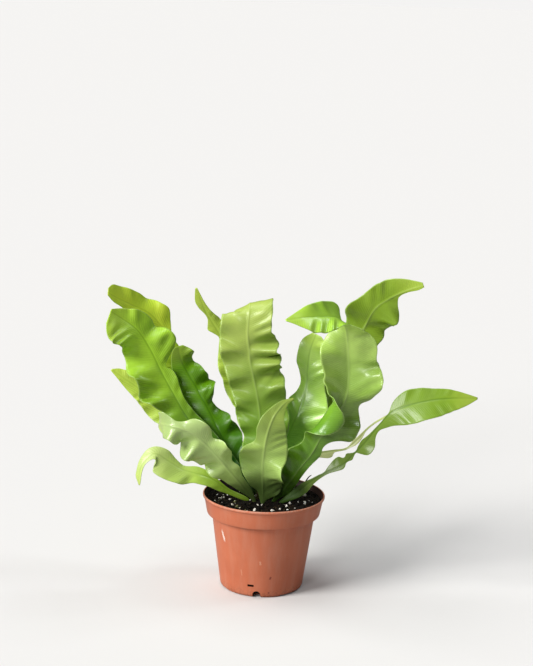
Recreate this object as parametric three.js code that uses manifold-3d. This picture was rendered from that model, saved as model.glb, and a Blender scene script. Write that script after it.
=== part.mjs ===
// A crinkled bird's-nest fern in a thin round nursery pot.
// Millimetres, +Z up. The pot stands on z = 0 with its axis on the z axis,
// and its front looks along -Y.
import * as THREE from 'three';
import { mergeVertices } from 'three/addons/utils/BufferGeometryUtils.js';
import Module from 'manifold-3d';

const wasm = await Module();
wasm.setup();

// Pot.
const POT_HEIGHT = 95;
const POT_SIDES = 48;
const WALL = 1.2;
const FLOOR = 1.5;
const FOOT_RADIUS = 39;
const BODY_RADIUS_LOW = 41.5;
const BODY_RADIUS_HIGH = 51.5;
const BAND_RADIUS_LOW = 56.6;
const BAND_RADIUS_HIGH = 59.4;
const BAND_HEIGHT = 19.5;
const LIP_RADIUS = 61;
const LIP_HEIGHT = 2.6;
const LIP_ROUND = 0.8;
const LIP_FLARE = 0.4;
const LIP_STEP = 1;
const FOOT_CORNER = 2.2;
const FLOOR_CORNER = 1;

// Drainage under the pot: three shallow channels, an arch between each two and a slit.
const CHANNEL_DEPTH = 1.8;
const CHANNEL_ANGLE = 35;
const ROOF_ANGLE = 39;
const CHANNEL_INNER_RADIUS = 15;
const CHANNEL_DIRECTIONS = [-75, 45, 165];
const ARCH_WIDTH = 8;
const ARCH_HEIGHT = 7;
const ARCH_DIRECTIONS = [-6, 114, 234];
const ARCH_INNER_RADIUS = 32;
const SLIT_WIDTH = 6.4;
const SLIT_HEIGHT = 2.4;
const SLIT_LEVEL = 12.5;
const SLIT_DIRECTION = -14;
const CUT_PAST = 5;
const ARC_STEPS = 6;

// Soil and the fern's crown.
const GAP = 0.3;
const SOIL_TOP = 90;
const SOIL_DROP = 1;
const SOIL_LUMP = 0.8;
const SOIL_RINGS = 7;
const SOIL_SEED = 12;
const CHANCE_STEP = 12.9898;
const CHANCE_SPREAD = 43758.5453;
const CROWN_RADIUS = 5;
const CROWN_HEIGHT = 6;
const CROWN_ROOT = 4;
const CROWN_SIDES = 14;
const CROWN_STEPS = 5;

// Fronds.
const BLADE = 0.8;
const STALK_HALF_WIDTH = 1.8;
const STALK_RELIEF = 1.8;
const RIB_RELIEF = 0.6;
const RIB_HALF_WIDTH = 2.5;
const HOLE_RADIUS = 2.6;
const HOLE_SIDES = 8;
const HOLE_STATIONS = [0, 0.5, 1, 1.4];
const HOLE_CLEARANCE = 0.4;
const STALK_STATION = 1;
const BLADE_STATION = 2.5;
const ALONG_STEP = 0.02;
const ACROSS_STEP = 0.05;
const LEAST_CURL = 0.01;
const TENSION = 0.5;
const ROW_SPACING = 6;
const FOUR_STRIPS = [-1, -0.5, 0, 0.5, 1];
const EIGHT_STRIPS = [-1, -0.75, -0.5, -0.25, 0, 0.25, 0.5, 0.75, 1];

// Finishes.
const POT_PLASTIC = { color: 0xb8603c, roughness: 0.55 };
const POTTING_SOIL = { color: 0x1d1713, roughness: 0.95 };
const CROWN_SCALES = { color: 0x3a2a18, roughness: 0.9 };
const LEAF_FRESH = { color: 0x7fb53a, roughness: 0.4 };
const LEAF_DEEP = { color: 0x5f9a2c, roughness: 0.35 };
const LEAF_PALE = { color: 0x97be5e, roughness: 0.5 };

// Each frond is one wavy strap on a rib. The rib's first point is its root, 10 mm
// under the soil, the second is where it leaves the soil and the last is the tip;
// these points are the stations 0, 1, 2 and so on. `faces` gives, by station, the
// direction that the side towards the front looks in. `left` and `right` give, by
// station, how wide that half of the blade is and how far it curls, in degrees:
// positive curls turn the margin towards `faces`.
const FRONDS = [
  {
    name: 'frond_front',
    finish: LEAF_PALE,
    rib: [[-1, -16, 80], [-1, -17, 90], [-1, -22, 105], [-2, -30, 128], [-1, -35, 150],
      [2, -37, 169], [8, -35, 185], [17, -30, 196], [26, -26, 200]],
    faces: [[0, 0, -1, -0.2], [4, 0, -1, -0.3], [8, 0.1, -1, 0.2]],
    left: [[1.3, 3, 0], [2, 6, 10], [2.3, 12, 25], [2.7, 17, 35], [2.95, 20, 25], [3.3, 23, -15],
      [3.8, 24, 15], [4.05, 23, 25], [4.25, 13, -35], [4.6, 10, -10], [5.1, 12, 15], [5.6, 11, 5],
      [6.1, 8, 0], [6.7, 5, 0], [7.4, 2, 0], [8, 1, 0]],
    right: [[1.4, 6, 0], [1.7, 14, 0], [2, 19, -20], [2.4, 19, 0], [2.85, 26, 75], [3.35, 22, 55],
      [3.65, 23, 0], [4, 23, -8], [4.8, 21, -30], [5.5, 16, -15], [6.1, 10, 10], [6.8, 5, 0],
      [7.5, 2, 0], [8, 1, 0]],
  },
  {
    name: 'frond_front_left',
    finish: LEAF_PALE,
    rib: [[-8, -12, 80], [-9, -13, 90], [-19, -21, 105], [-32, -33, 124], [-45, -44, 143],
      [-60, -52, 161], [-74, -56, 172], [-89, -54, 176], [-99, -44, 175], [-104, -33, 171]],
    faces: [[0, -0.2, -1, -0.2], [4, -0.2, -1, -0.1], [8, -0.5, -1, 0.1], [9, -0.9, -0.4, 0.2]],
    left: [[1.4, 2, 0], [2.3, 8, 0], [2.9, 12, 10], [3.4, 18, 25], [3.65, 23, -45], [4.1, 20, -5],
      [4.6, 22, 20], [5.05, 26, 45], [5.4, 27, -45], [6.3, 21, -55], [6.9, 15, 40], [8, 13, 10],
      [8.6, 9, -20], [9, 2, 0]],
    right: [[1.3, 3, 0], [2, 6, -15], [2.6, 7, -35], [3.15, 11, -20], [3.55, 9, -35], [4.1, 17, 25],
      [4.5, 20, 35], [4.8, 10, -30], [5.2, 15, 0], [5.6, 21, 35], [5.95, 17, 20], [6.3, 9, -45],
      [6.9, 6, -50], [7.4, 9, -10], [7.8, 13, 20], [8.5, 10, 10], [9, 2, 0]],
  },
  {
    name: 'frond_low_left',
    finish: LEAF_FRESH,
    rib: [[-14, -8, 80], [-16, -9, 90], [-35, -14, 101], [-50, -19, 113], [-65, -24, 120],
      [-81, -26, 125], [-95, -28, 134], [-107, -30, 141], [-118, -32, 133], [-122, -34, 121],
      [-122, -34, 110]],
    faces: [[0, 0.2, -0.8, 0.5], [6, 0.1, -0.7, 0.65], [8, -0.5, -0.7, 0.5], [10, -0.8, -0.6, 0.1]],
    left: [[1.3, 3, 0], [2, 4, 0], [2.7, 8, 5], [3.6, 10, 10], [4.3, 11, -10], [4.9, 17, 15],
      [5.6, 19, 10], [6.1, 19, -5], [6.5, 17, -20], [6.9, 11, -15], [7.3, 5, 0], [8.6, 3, 0],
      [9.4, 3, 0], [10, 1, 0]],
    right: [[1.4, 2, 0], [2, 2, 0], [2.8, 3, 5], [3.4, 6, 10], [4.1, 8, -10], [4.9, 5, -15],
      [5.5, 6, 0], [6.2, 9, 15], [6.8, 8, 5], [7.4, 8, 0], [8, 6, 0], [8.7, 5, 0], [9.3, 5, 0],
      [10, 1, 0]],
  },
  {
    name: 'frond_left_tall',
    finish: LEAF_FRESH,
    rib: [[-9, -4, 80], [-11, -3, 90], [-24, 4, 107], [-45, 14, 126], [-64, 24, 145],
      [-81, 33, 163], [-96, 42, 185], [-109, 49, 206], [-120, 54, 226], [-133, 55, 245],
      [-148, 52, 257], [-160, 46, 266]],
    faces: [[0, 0.2, -0.95, 0.3], [4, 0.3, -0.85, 0.4], [11, 0.3, -0.8, 0.55]],
    left: [[1.4, 3, 0], [2, 4, 0], [3, 7, 10], [3.9, 10, -20], [4.8, 12, 20], [5.2, 18, 15],
      [5.5, 18, -20], [5.9, 29, 25], [6.3, 33, -20], [6.8, 31, 20], [7.2, 34, 25], [7.6, 32, -20],
      [8.3, 27, -30], [9.1, 28, 20], [9.8, 31, 25], [10.4, 31, 20], [10.8, 24, 5], [11, 14, 0]],
    right: [[1.4, 4, 0], [2, 8, 0], [3, 12, 10], [4, 12, 0], [4.6, 11, 10], [5.2, 9, 20],
      [5.7, 8, 25], [6.1, 10, 25], [6.5, 12, 30], [6.8, 11, 30], [7.02, 7, 10], [7.25, 11, 0],
      [7.55, 20, 10], [7.9, 29, 25], [8.3, 28, 40], [8.6, 22, -30], [9, 21, -10], [9.5, 18, 20],
      [10.1, 12, 10], [10.6, 7, 0], [11, 3, 0]],
  },
  {
    name: 'frond_left_inner',
    finish: LEAF_DEEP,
    rib: [[-4, 8, 80], [-6, 9, 90], [-14, 13, 102], [-27, 23, 117], [-40, 33, 135], [-51, 42, 152],
      [-64, 50, 174], [-77, 56, 195], [-88, 58, 213], [-92, 56, 230]],
    faces: [[0, 0.2, -0.95, 0.2], [4, 0.2, -0.92, 0.33], [9, 0.15, -0.93, 0.3]],
    left: [[1.3, 3, 0], [1.8, 4, 0], [2.7, 10, 10], [3.7, 14, -15], [4.5, 18, 0], [5.2, 20, -25],
      [6.1, 20, -30], [6.8, 16, -35], [7.5, 14, -30], [8.2, 10, -10], [8.7, 7, 0], [9, 3, 0]],
    right: [[1.5, 2, 0], [2.4, 4, 0], [3.2, 9, 10], [3.8, 17, 30], [4.4, 22, -30], [4.9, 17, 30],
      [5.2, 18, -5], [5.55, 14, -50], [5.9, 9.5, -40], [6.15, 14, 35], [6.4, 20, 48],
      [6.7, 19, -48], [7, 17, 30], [7.3, 16, 25], [7.6, 14, -40], [8, 13, -25], [8.6, 15, 25],
      [9, 5, 0]],
  },
  {
    name: 'frond_left_low_back',
    finish: LEAF_FRESH,
    rib: [[-10, 3, 80], [-12, 5, 90], [-29, 20, 103], [-52, 36, 121], [-78, 50, 142],
      [-105, 62, 163], [-133, 68, 182], [-161, 70, 200]],
    faces: [[0, 0.2, -0.95, 0.2], [7, 0.3, -0.9, 0.3]],
    left: [[1.3, 3, 0], [2.2, 8, 10], [3.1, 11, -15], [3.9, 14, 15], [4.4, 14, -10], [4.8, 17, 10],
      [5.2, 17, -10], [5.8, 12, 15], [6.3, 8, -10], [6.7, 4, 5], [7, 1, 0]],
    right: [[1.3, 3, 0], [2, 4, 0], [3, 7, 10], [4.1, 10, -20], [5, 11, 20], [5.9, 14, -15],
      [6.4, 10, 15], [6.8, 6, 0], [7, 1, 0]],
  },
  {
    name: 'frond_left_back',
    finish: LEAF_FRESH,
    rib: [[-8, 13, 80], [-9, 15, 90], [-21, 32, 115], [-45, 52, 144], [-69, 68, 178],
      [-89, 78, 211], [-106, 84, 238], [-123, 84, 257], [-139, 78, 266], [-154, 68, 275],
      [-164, 58, 283]],
    faces: [[0, 0.2, -0.95, 0.2], [5, 0.3, -0.9, 0.3], [10, 0.2, -0.75, 0.6]],
    left: [[1.3, 4, 0], [2.3, 12, -15], [3.1, 13, 10], [3.9, 14, -20], [4.8, 20, 20],
      [5.8, 21, -20], [6.5, 20, 15], [7.3, 17, -10], [8.1, 11, 10], [8.8, 7, 0], [9.5, 6, 0],
      [10, 3, 0]],
    right: [[1.3, 4, 0], [2.3, 4, 15], [3, 5, -20], [3.8, 6, 20], [4.5, 6, -20], [5.2, 5, 15],
      [5.8, 4, -10], [6.2, 11, -10], [6.6, 18, 25], [7, 16, 25], [7.4, 14, -20], [7.9, 15, 10],
      [8.5, 15, 15], [9.1, 14, 0], [9.7, 11, 0], [10, 5, 0]],
  },
  {
    name: 'frond_back_thin',
    finish: LEAF_FRESH,
    rib: [[0, 9, 80], [0, 10, 90], [-4, 28, 121], [-12, 46, 152], [-25, 60, 185], [-38, 68, 217],
      [-52, 71, 243], [-65, 68, 264], [-75, 60, 290]],
    faces: [[0, 0.1, -1, 0.2], [4, 0.1, -1, 0.3], [8, -0.3, -0.9, 0.3]],
    left: [[1.3, 4, 0], [2.2, 9, 10], [2.9, 12, -10], [3.5, 13, 15], [3.8, 15, 5], [4.15, 17, -15],
      [4.5, 16, 10], [4.8, 17, 20], [5.2, 12, -10], [5.55, 6, -20], [5.8, 2, -5], [6.05, 5, 15],
      [6.3, 8, 10], [6.5, 5, 0], [6.7, 2, -10], [6.95, 2, 0], [7.25, 5, 0], [7.5, 6, 0],
      [7.75, 4, 0], [8, 1, 0]],
    right: [[1.4, 4, 0], [2.1, 8, 10], [2.9, 9, -10], [3.8, 10, 15], [4.8, 10, -15], [5.6, 9, 10],
      [6.4, 9, -10], [6.9, 6, 10], [7.4, 3, -10], [7.7, 2, 0], [8, 1, 0]],
  },
  {
    name: 'frond_centre_tall',
    finish: LEAF_PALE,
    rib: [[1, -9, 80], [1, -9, 90], [0, -6, 121], [-4, 0, 150], [-7, 4, 179], [-12, 6, 204],
      [-17, 6, 225], [-19, 6, 240], [-21, 6, 257], [-20, 9, 276], [-20, 18, 283], [-19, 29, 282],
      [-18, 38, 278]],
    faces: [[0, 0, -1, 0], [8, 0, -1, 0.1], [9, -0.15, -0.9, 0.4], [10, -0.3, -0.3, 1],
      [11, -0.3, 0.2, 1], [12, -0.3, 0.5, 0.9]],
    left: [[1.3, 5, 0], [1.8, 13, 10], [2.4, 17, -10], [2.8, 20, 20], [3.15, 18, -25],
      [3.5, 21, 15], [3.9, 24, -20], [4.4, 23, 20], [4.95, 25, -20], [5.5, 25, 20], [6.15, 27, -20],
      [7.1, 29, 20], [7.8, 28, -15], [8.35, 27, 10], [8.8, 27, -5], [9.3, 28, -25], [9.7, 27, -35],
      [10.1, 24, -40], [10.5, 23, -35], [11, 21, -30], [11.6, 14, 0], [12, 5, 0]],
    right: [[1.3, 4, 0], [1.7, 11, 0], [2.2, 18, 10], [2.9, 25, -15], [3.6, 29, 15], [4.2, 28, -20],
      [4.8, 30, 30], [5.3, 30, -45], [5.8, 30, 37], [6.3, 32, -37], [6.9, 30, 45], [7.3, 30, -37],
      [7.9, 25, 15], [8.7, 24, 20], [9.4, 24, 5], [10.2, 24, 0], [11, 20, 0], [11.6, 13, 0],
      [12, 5, 0]],
  },
  {
    name: 'frond_right_inner',
    finish: LEAF_DEEP,
    rib: [[9, -3, 80], [9, -2, 90], [14, 6, 126], [22, 16, 150], [32, 24, 173], [39, 29, 197],
      [40, 32, 217], [42, 32, 236], [47, 28, 253]],
    faces: [[0, -0.1, -1, 0.2], [8, -0.2, -0.95, 0.3]],
    left: [[1.3, 4, 0], [1.8, 5, 10], [2.3, 4, -20], [2.8, 4, 15], [3.3, 7, -20], [3.7, 11, 15],
      [4.1, 14, 25], [4.4, 14, -5], [4.8, 9, -15], [5.3, 7, -30], [5.8, 8, -5], [6.3, 12, 25],
      [6.9, 12, 15], [7.4, 11, -10], [8, 4, 0]],
    right: [[1.3, 5, 0], [1.7, 14, 5], [2.4, 23, 15], [3.3, 27, -20], [4, 27, 10], [4.4, 29, 20],
      [4.75, 24, 5], [5.1, 19, -15], [5.5, 18, 0], [5.9, 18, 15], [6.8, 17, -15], [7.6, 16, 10],
      [8, 6, 0]],
  },
  {
    name: 'frond_right_hooded',
    finish: LEAF_PALE,
    strips: EIGHT_STRIPS,
    rib: [[8, -9, 80], [10, -10, 90], [21, -15, 106], [33, -22, 127], [46, -28, 147],
      [55, -32, 167], [67, -34, 187], [76, -34, 204], [78, -32, 224], [77, -32, 243],
      [75, -34, 263], [72, -40, 276], [64, -50, 286], [48, -63, 289], [31, -75, 290],
      [15, -84, 289]],
    faces: [[0, 0.1, -1, -0.1], [9, 0, -1, -0.1], [10, -0.1, -1, -0.2], [11, -0.45, -0.7, -0.55],
      [12, -0.5, 0.2, -0.8], [13, -0.4, 0.6, -0.65], [14, -0.3, 0.7, -0.6], [15, -0.2, 0.7, -0.6]],
    left: [[1.4, 3, 0], [1.9, 7, 0], [2.7, 13, 5], [3.3, 18, 15], [3.7, 24, 30], [3.95, 17, 0],
      [4.3, 14, -20], [4.7, 16, 0], [4.95, 20, 50], [5.2, 32, 130], [5.6, 42, 195], [6.1, 44, 210],
      [6.5, 38, 175], [6.8, 33, 130], [7.2, 28, 80], [7.7, 29, 60], [8.3, 28, 50], [8.8, 29, 50],
      [9.4, 30, 45], [9.8, 26, 20], [10.2, 19, -15], [10.6, 15, -40], [11.2, 11, -60],
      [11.7, 13, -65], [12.1, 16, -55], [12.5, 16, -45], [13, 15, -35], [13.6, 12, -20],
      [14.1, 8, 0], [14.6, 4, 0], [15, 1, 0]],
    right: [[1.4, 3, 0], [1.9, 7, 0], [2.8, 7, 5], [3.5, 7, 10], [4, 9, -15], [4.4, 7, 10],
      [4.8, 11, 10], [5.1, 20, -10], [5.5, 28, 20], [5.9, 28, 10], [6.4, 25, -30], [6.9, 19, -45],
      [7.3, 26, 30], [7.7, 38, 60], [8.2, 37, 55], [8.6, 30, 25], [9, 30, 45], [9.6, 30, 40],
      [10.05, 26, 15], [10.5, 20, 0], [11, 19, 0], [11.4, 11, 0], [11.8, 11, 0], [12.2, 13, 0],
      [12.8, 17, 0], [13.4, 17, 0], [13.8, 15, 0], [14.2, 10, 0], [14.6, 5, 0], [15, 1, 0]],
  },
  {
    name: 'frond_right_back',
    finish: LEAF_PALE,
    rib: [[7, 5, 80], [8, 6, 90], [26, 20, 122], [45, 34, 152], [63, 46, 185], [80, 55, 219],
      [95, 60, 250], [105, 62, 271], [117, 59, 283], [134, 52, 294], [153, 43, 303]],
    faces: [[0, 0.1, -1, 0], [8, 0.1, -1, 0.1], [10, 0.2, -0.9, 0.3]],
    left: [[1.3, 6, 0], [2.1, 8, -10], [3, 10, 15], [3.9, 12, -20], [4.8, 16, 15], [5.6, 17, -15],
      [6.2, 21, -20], [6.6, 28, 20], [6.8, 26, 15], [7.05, 21, 0], [7.4, 19, -10], [8.1, 20, 10],
      [8.7, 18, 5], [9.2, 13, 0], [9.6, 8, 0], [9.85, 5, 0], [10, 3, 0]],
    right: [[1.4, 5, 0], [2.1, 8, 10], [3.2, 12, -20], [4.1, 15, 15], [4.9, 19, -15], [5.8, 20, 20],
      [6.1, 22, 20], [6.4, 22, -30], [6.9, 25, 10], [7.5, 26, 25], [7.9, 26, 20], [8.2, 19, -15],
      [8.45, 9, -20], [8.7, 3, -10], [9.2, 2, 0], [9.7, 3, 0], [10, 2, 0]],
  },
  {
    name: 'frond_right_long',
    finish: LEAF_FRESH,
    rib: [[15, -13, 80], [17, -14, 90], [32, -22, 103], [44, -30, 117], [57, -37, 128],
      [74, -43, 139], [85, -47, 152], [96, -51, 166], [107, -55, 183], [119, -59, 198],
      [137, -62, 207], [159, -64, 213], [180, -64, 215], [199, -62, 215]],
    faces: [[0, 0, -0.8, 0.5], [9, 0, -0.75, 0.65], [13, 0.1, -0.75, 0.65]],
    left: [[1.4, 3, 0], [2.1, 5, 0], [2.6, 4, 0], [3.2, 2, 0], [3.7, 1.5, 0], [4.1, 1.5, 0],
      [4.35, 5, 0], [4.7, 9, 0], [5.1, 9, 0], [5.35, 5, 0], [5.5, 4.5, 0], [5.7, 5.5, 0],
      [5.9, 3, 0], [6.1, 1, 0], [6.3, 1, 0], [6.5, 2.5, 0], [6.9, 4, 0], [7.4, 2, 0], [8, 0.8, 0],
      [8.6, 0.8, 0], [8.9, 2, 0], [9.2, 8, 5], [9.5, 12, 10], [9.9, 15, 10], [10.4, 15, 0],
      [11, 12, -5], [11.6, 10, 0], [12.4, 5, 0], [13, 1, 0]],
    right: [[1.4, 3, 0], [2, 5, 0], [2.6, 6, 0], [3.2, 4, 0], [3.8, 2.5, 0], [4.3, 2, 0],
      [4.7, 3, 0], [5, 4, 0], [5.15, 3, 0], [5.3, 1, 0], [5.5, 1.5, 0], [5.7, 3, 0], [5.9, 2, 0],
      [6.05, 1, 0], [6.2, 1.2, 0], [6.35, 5, 10], [6.7, 12, 20], [7.1, 11, 10], [7.5, 5, 0],
      [7.9, 4, 0], [8.3, 8, 0], [8.9, 14, -10], [9.7, 19, -5], [10.4, 20, 5], [11.1, 18, 0],
      [11.8, 13, 0], [12.4, 8, 0], [13, 1, 0]],
  },
  {
    name: 'frond_right_back_thin',
    finish: LEAF_FRESH,
    rib: [[13, 2, 80], [14, 2, 90], [26, 6, 115], [38, 10, 124], [51, 12, 133], [66, 13, 137],
      [81, 13, 140], [92, 12, 150], [100, 10, 161], [109, 7, 170], [120, 3, 178]],
    faces: [[0, 0, -0.8, 0.5], [10, 0, -0.75, 0.65]],
    left: [[1.4, 1.5, 0], [4.3, 1.5, 0], [5.2, 1, 0], [6.2, 1.2, 0], [6.7, 2.5, 0], [7.3, 2, 0],
      [7.9, 1, 0], [10, 1, 0]],
    right: [[1.4, 2, 0], [2.5, 3, 0], [3.9, 3, 0], [4.3, 5, 0], [4.7, 7, 10], [5, 6, 0],
      [5.2, 2, 0], [6.2, 1.2, 0], [6.7, 3, 0], [7.3, 2.5, 0], [7.9, 1, 0], [10, 1, 0]],
  },
];

// The direction, in plan, of an angle in degrees from the pot's front towards +X.
function heading(degrees) {
  const angle = THREE.MathUtils.degToRad(degrees);
  return new THREE.Vector2(Math.sin(angle), -Math.cos(angle));
}

// A closed geometry as a solid for joins and cuts.
function toSolid(geometry) {
  const bare = geometry.clone();
  bare.deleteAttribute('normal');
  bare.deleteAttribute('uv');
  const merged = mergeVertices(bare, 1e-4);
  const mesh = new wasm.Mesh({
    numProp: 3,
    vertProperties: new Float32Array(merged.attributes.position.array),
    triVerts: new Uint32Array(merged.index.array),
  });
  return new wasm.Manifold(mesh);
}

// A solid as an indexed geometry.
function toGeometry(solid) {
  const mesh = solid.getMesh();
  const geometry = new THREE.BufferGeometry();
  geometry.setAttribute('position', new THREE.BufferAttribute(mesh.vertProperties, 3));
  geometry.setIndex(new THREE.BufferAttribute(mesh.triVerts, 1));
  geometry.computeVertexNormals();
  return geometry;
}

// A turned solid about the z axis from [radius, height] points, from the axis out and back to it.
function turned(profile) {
  const points = profile.map(([radius, height]) => new THREE.Vector2(radius, height));
  const geometry = new THREE.LatheGeometry(points, POT_SIDES);
  geometry.rotateX(Math.PI / 2);
  return geometry;
}

function named(name, geometry, finish) {
  const mesh = new THREE.Mesh(geometry, new THREE.MeshStandardMaterial({ ...finish, metalness: 0 }));
  mesh.name = name;
  return mesh;
}

// A sector of a ring as a flat-topped block: a channel under the floor, or the roof over it.
function sectorBlock(direction, angle, innerRadius, top) {
  const outerRadius = FOOT_RADIUS + CUT_PAST;
  const middle = THREE.MathUtils.degToRad(direction - 90);
  const half = THREE.MathUtils.degToRad(angle / 2);
  const shape = new THREE.Shape();
  shape.absarc(0, 0, outerRadius, middle - half, middle + half, false);
  shape.absarc(0, 0, innerRadius, middle + half, middle - half, true);
  shape.closePath();
  const depth = top + CUT_PAST;
  const block = new THREE.ExtrudeGeometry(shape, { depth, bevelEnabled: false, curveSegments: ARC_STEPS });
  block.translate(0, 0, -CUT_PAST);
  return block;
}

// A round-topped opening through the foot of the wall.
function archBlock(direction) {
  const half = ARCH_WIDTH / 2;
  const shape = new THREE.Shape();
  shape.moveTo(-half, -CUT_PAST);
  shape.lineTo(half, -CUT_PAST);
  shape.absarc(0, ARCH_HEIGHT - half, half, 0, Math.PI, false);
  shape.closePath();
  const depth = BODY_RADIUS_HIGH - ARCH_INNER_RADIUS;
  const block = new THREE.ExtrudeGeometry(shape, { depth, bevelEnabled: false, curveSegments: ARC_STEPS });
  block.rotateX(Math.PI / 2);
  block.translate(0, -ARCH_INNER_RADIUS, 0);
  block.rotateZ(THREE.MathUtils.degToRad(direction));
  return block;
}

function slitBlock() {
  const block = new THREE.BoxGeometry(SLIT_WIDTH, BODY_RADIUS_HIGH - ARCH_INNER_RADIUS, SLIT_HEIGHT);
  const out = heading(SLIT_DIRECTION).multiplyScalar((BODY_RADIUS_HIGH + ARCH_INNER_RADIUS) / 2);
  block.rotateZ(THREE.MathUtils.degToRad(SLIT_DIRECTION));
  block.translate(out.x, out.y, SLIT_LEVEL);
  return block;
}

const BAND_FOOT = POT_HEIGHT - BAND_HEIGHT;
const LIP_FOOT = POT_HEIGHT - LIP_HEIGHT;

// The hollow of the pot, from its floor to past its rim, drawn in by `inset`.
function hollowProfile(inset, floor) {
  const wall = WALL + inset;
  return [
    [0, floor],
    [BODY_RADIUS_LOW - wall - FLOOR_CORNER, floor],
    [BODY_RADIUS_LOW - wall, floor + FLOOR_CORNER],
    [BODY_RADIUS_HIGH - wall, BAND_FOOT + wall],
    [BAND_RADIUS_LOW - wall, BAND_FOOT + wall],
    [BAND_RADIUS_HIGH - wall, LIP_FOOT - inset],
  ];
}

function potSolid() {
  const outside = toSolid(turned([
    [0, 0],
    [FOOT_RADIUS, 0],
    [BODY_RADIUS_LOW, FOOT_CORNER],
    [BODY_RADIUS_HIGH, BAND_FOOT],
    [BAND_RADIUS_LOW, BAND_FOOT],
    [BAND_RADIUS_HIGH, LIP_FOOT - LIP_STEP],
    [LIP_RADIUS, LIP_FOOT],
    [LIP_RADIUS, POT_HEIGHT - LIP_ROUND],
    [LIP_RADIUS - LIP_ROUND, POT_HEIGHT],
    [0, POT_HEIGHT],
  ]));
  const mouthRadius = BAND_RADIUS_HIGH - WALL + LIP_FLARE;
  let hollow = toSolid(turned([
    ...hollowProfile(0, FLOOR),
    [mouthRadius, POT_HEIGHT],
    [mouthRadius, POT_HEIGHT + CUT_PAST],
    [0, POT_HEIGHT + CUT_PAST],
  ]));
  let pot = outside;
  for (const direction of CHANNEL_DIRECTIONS) {
    const channel = sectorBlock(direction, CHANNEL_ANGLE, CHANNEL_INNER_RADIUS, CHANNEL_DEPTH);
    const roof = sectorBlock(direction, ROOF_ANGLE, CHANNEL_INNER_RADIUS - WALL, CHANNEL_DEPTH + WALL);
    pot = pot.subtract(toSolid(channel));
    hollow = hollow.subtract(toSolid(roof));
  }
  pot = pot.subtract(hollow);
  for (const direction of ARCH_DIRECTIONS) {
    pot = pot.subtract(toSolid(archBlock(direction)));
  }
  return pot.subtract(toSolid(slitBlock()));
}

// A repeatable value from 0 to 1 for a whole number.
function chance(index) {
  const value = Math.sin(index * CHANCE_STEP + SOIL_SEED) * CHANCE_SPREAD;
  return value - Math.floor(value);
}

// The potting soil: a lumpy top, low at the wall, sides that follow the pot and a flat underside.
function soilGeometry() {
  const floor = CHANNEL_DEPTH + WALL + 2 * GAP;
  const sides = hollowProfile(GAP, floor).slice(1, 5);
  const edgeRadius = THREE.MathUtils.mapLinear(SOIL_TOP - SOIL_DROP, BAND_FOOT + WALL, LIP_FOOT,
    BAND_RADIUS_LOW - WALL, BAND_RADIUS_HIGH - WALL) - GAP;
  const positions = [0, 0, SOIL_TOP, 0, 0, floor];
  const rings = [];
  for (let ring = 1; ring <= SOIL_RINGS; ring += 1) {
    const part = ring / SOIL_RINGS;
    const lump = ring === SOIL_RINGS ? SOIL_LUMP / 2 : SOIL_LUMP;
    rings.push({ radius: edgeRadius * part, height: SOIL_TOP - SOIL_DROP * part * part, lump });
  }
  for (const [radius, height] of sides.reverse()) {
    rings.push({ radius, height, lump: 0 });
  }
  rings.forEach(({ radius, height, lump }, ring) => {
    for (let side = 0; side < POT_SIDES; side += 1) {
      const angle = (side / POT_SIDES) * 2 * Math.PI;
      const raise = lump * (2 * chance(ring * POT_SIDES + side) - 1);
      positions.push(radius * Math.sin(angle), -radius * Math.cos(angle), height + raise);
    }
  });
  const first = 2;
  const indices = [];
  const last = first + (rings.length - 1) * POT_SIDES;
  for (let side = 0; side < POT_SIDES; side += 1) {
    const next = (side + 1) % POT_SIDES;
    indices.push(0, first + side, first + next);
    indices.push(1, last + next, last + side);
    for (let ring = 0; ring < rings.length - 1; ring += 1) {
      const inner = first + ring * POT_SIDES;
      const outer = inner + POT_SIDES;
      indices.push(inner + side, outer + side, outer + next);
      indices.push(inner + side, outer + next, inner + next);
    }
  }
  return closedGeometry(positions, indices);
}

function closedGeometry(positions, indices) {
  const geometry = new THREE.BufferGeometry();
  geometry.setAttribute('position', new THREE.Float32BufferAttribute(positions, 3));
  geometry.setIndex(indices);
  geometry.computeVertexNormals();
  return geometry;
}

// The crown that the fronds stand round: a low dome on a short root.
function crownGeometry() {
  const points = [new THREE.Vector2(0, -CROWN_ROOT), new THREE.Vector2(CROWN_RADIUS, -CROWN_ROOT)];
  for (let step = 0; step < CROWN_STEPS; step += 1) {
    const angle = (step / CROWN_STEPS) * (Math.PI / 2);
    points.push(new THREE.Vector2(CROWN_RADIUS * Math.cos(angle), CROWN_HEIGHT * Math.sin(angle)));
  }
  points.push(new THREE.Vector2(0, CROWN_HEIGHT));
  const dome = new THREE.LatheGeometry(points, CROWN_SIDES);
  dome.rotateX(Math.PI / 2);
  dome.translate(0, 0, SOIL_TOP);
  return toGeometry(toSolid(dome));
}

// Values of hand-placed rows [station, value, ...] at a station, joined by smooth curves.
function along(rows, station) {
  const last = rows.length - 1;
  const place = THREE.MathUtils.clamp(station, rows[0][0], rows[last][0]);
  let i = 0;
  while (i < last - 1 && place >= rows[i + 1][0]) {
    i += 1;
  }
  const slope = (k, column) => {
    const before = rows[Math.max(k - 1, 0)];
    const after = rows[Math.min(k + 1, last)];
    return (after[column] - before[column]) / (after[0] - before[0]);
  };
  const span = rows[i + 1][0] - rows[i][0];
  const f = (place - rows[i][0]) / span;
  return rows[i].slice(1).map((value, k) => {
    const column = k + 1;
    return (2 * f ** 3 - 3 * f ** 2 + 1) * value
      + (f ** 3 - 2 * f ** 2 + f) * span * slope(i, column)
      + (3 * f ** 2 - 2 * f ** 3) * rows[i + 1][column]
      + (f ** 3 - f ** 2) * span * slope(i + 1, column);
  });
}

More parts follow.
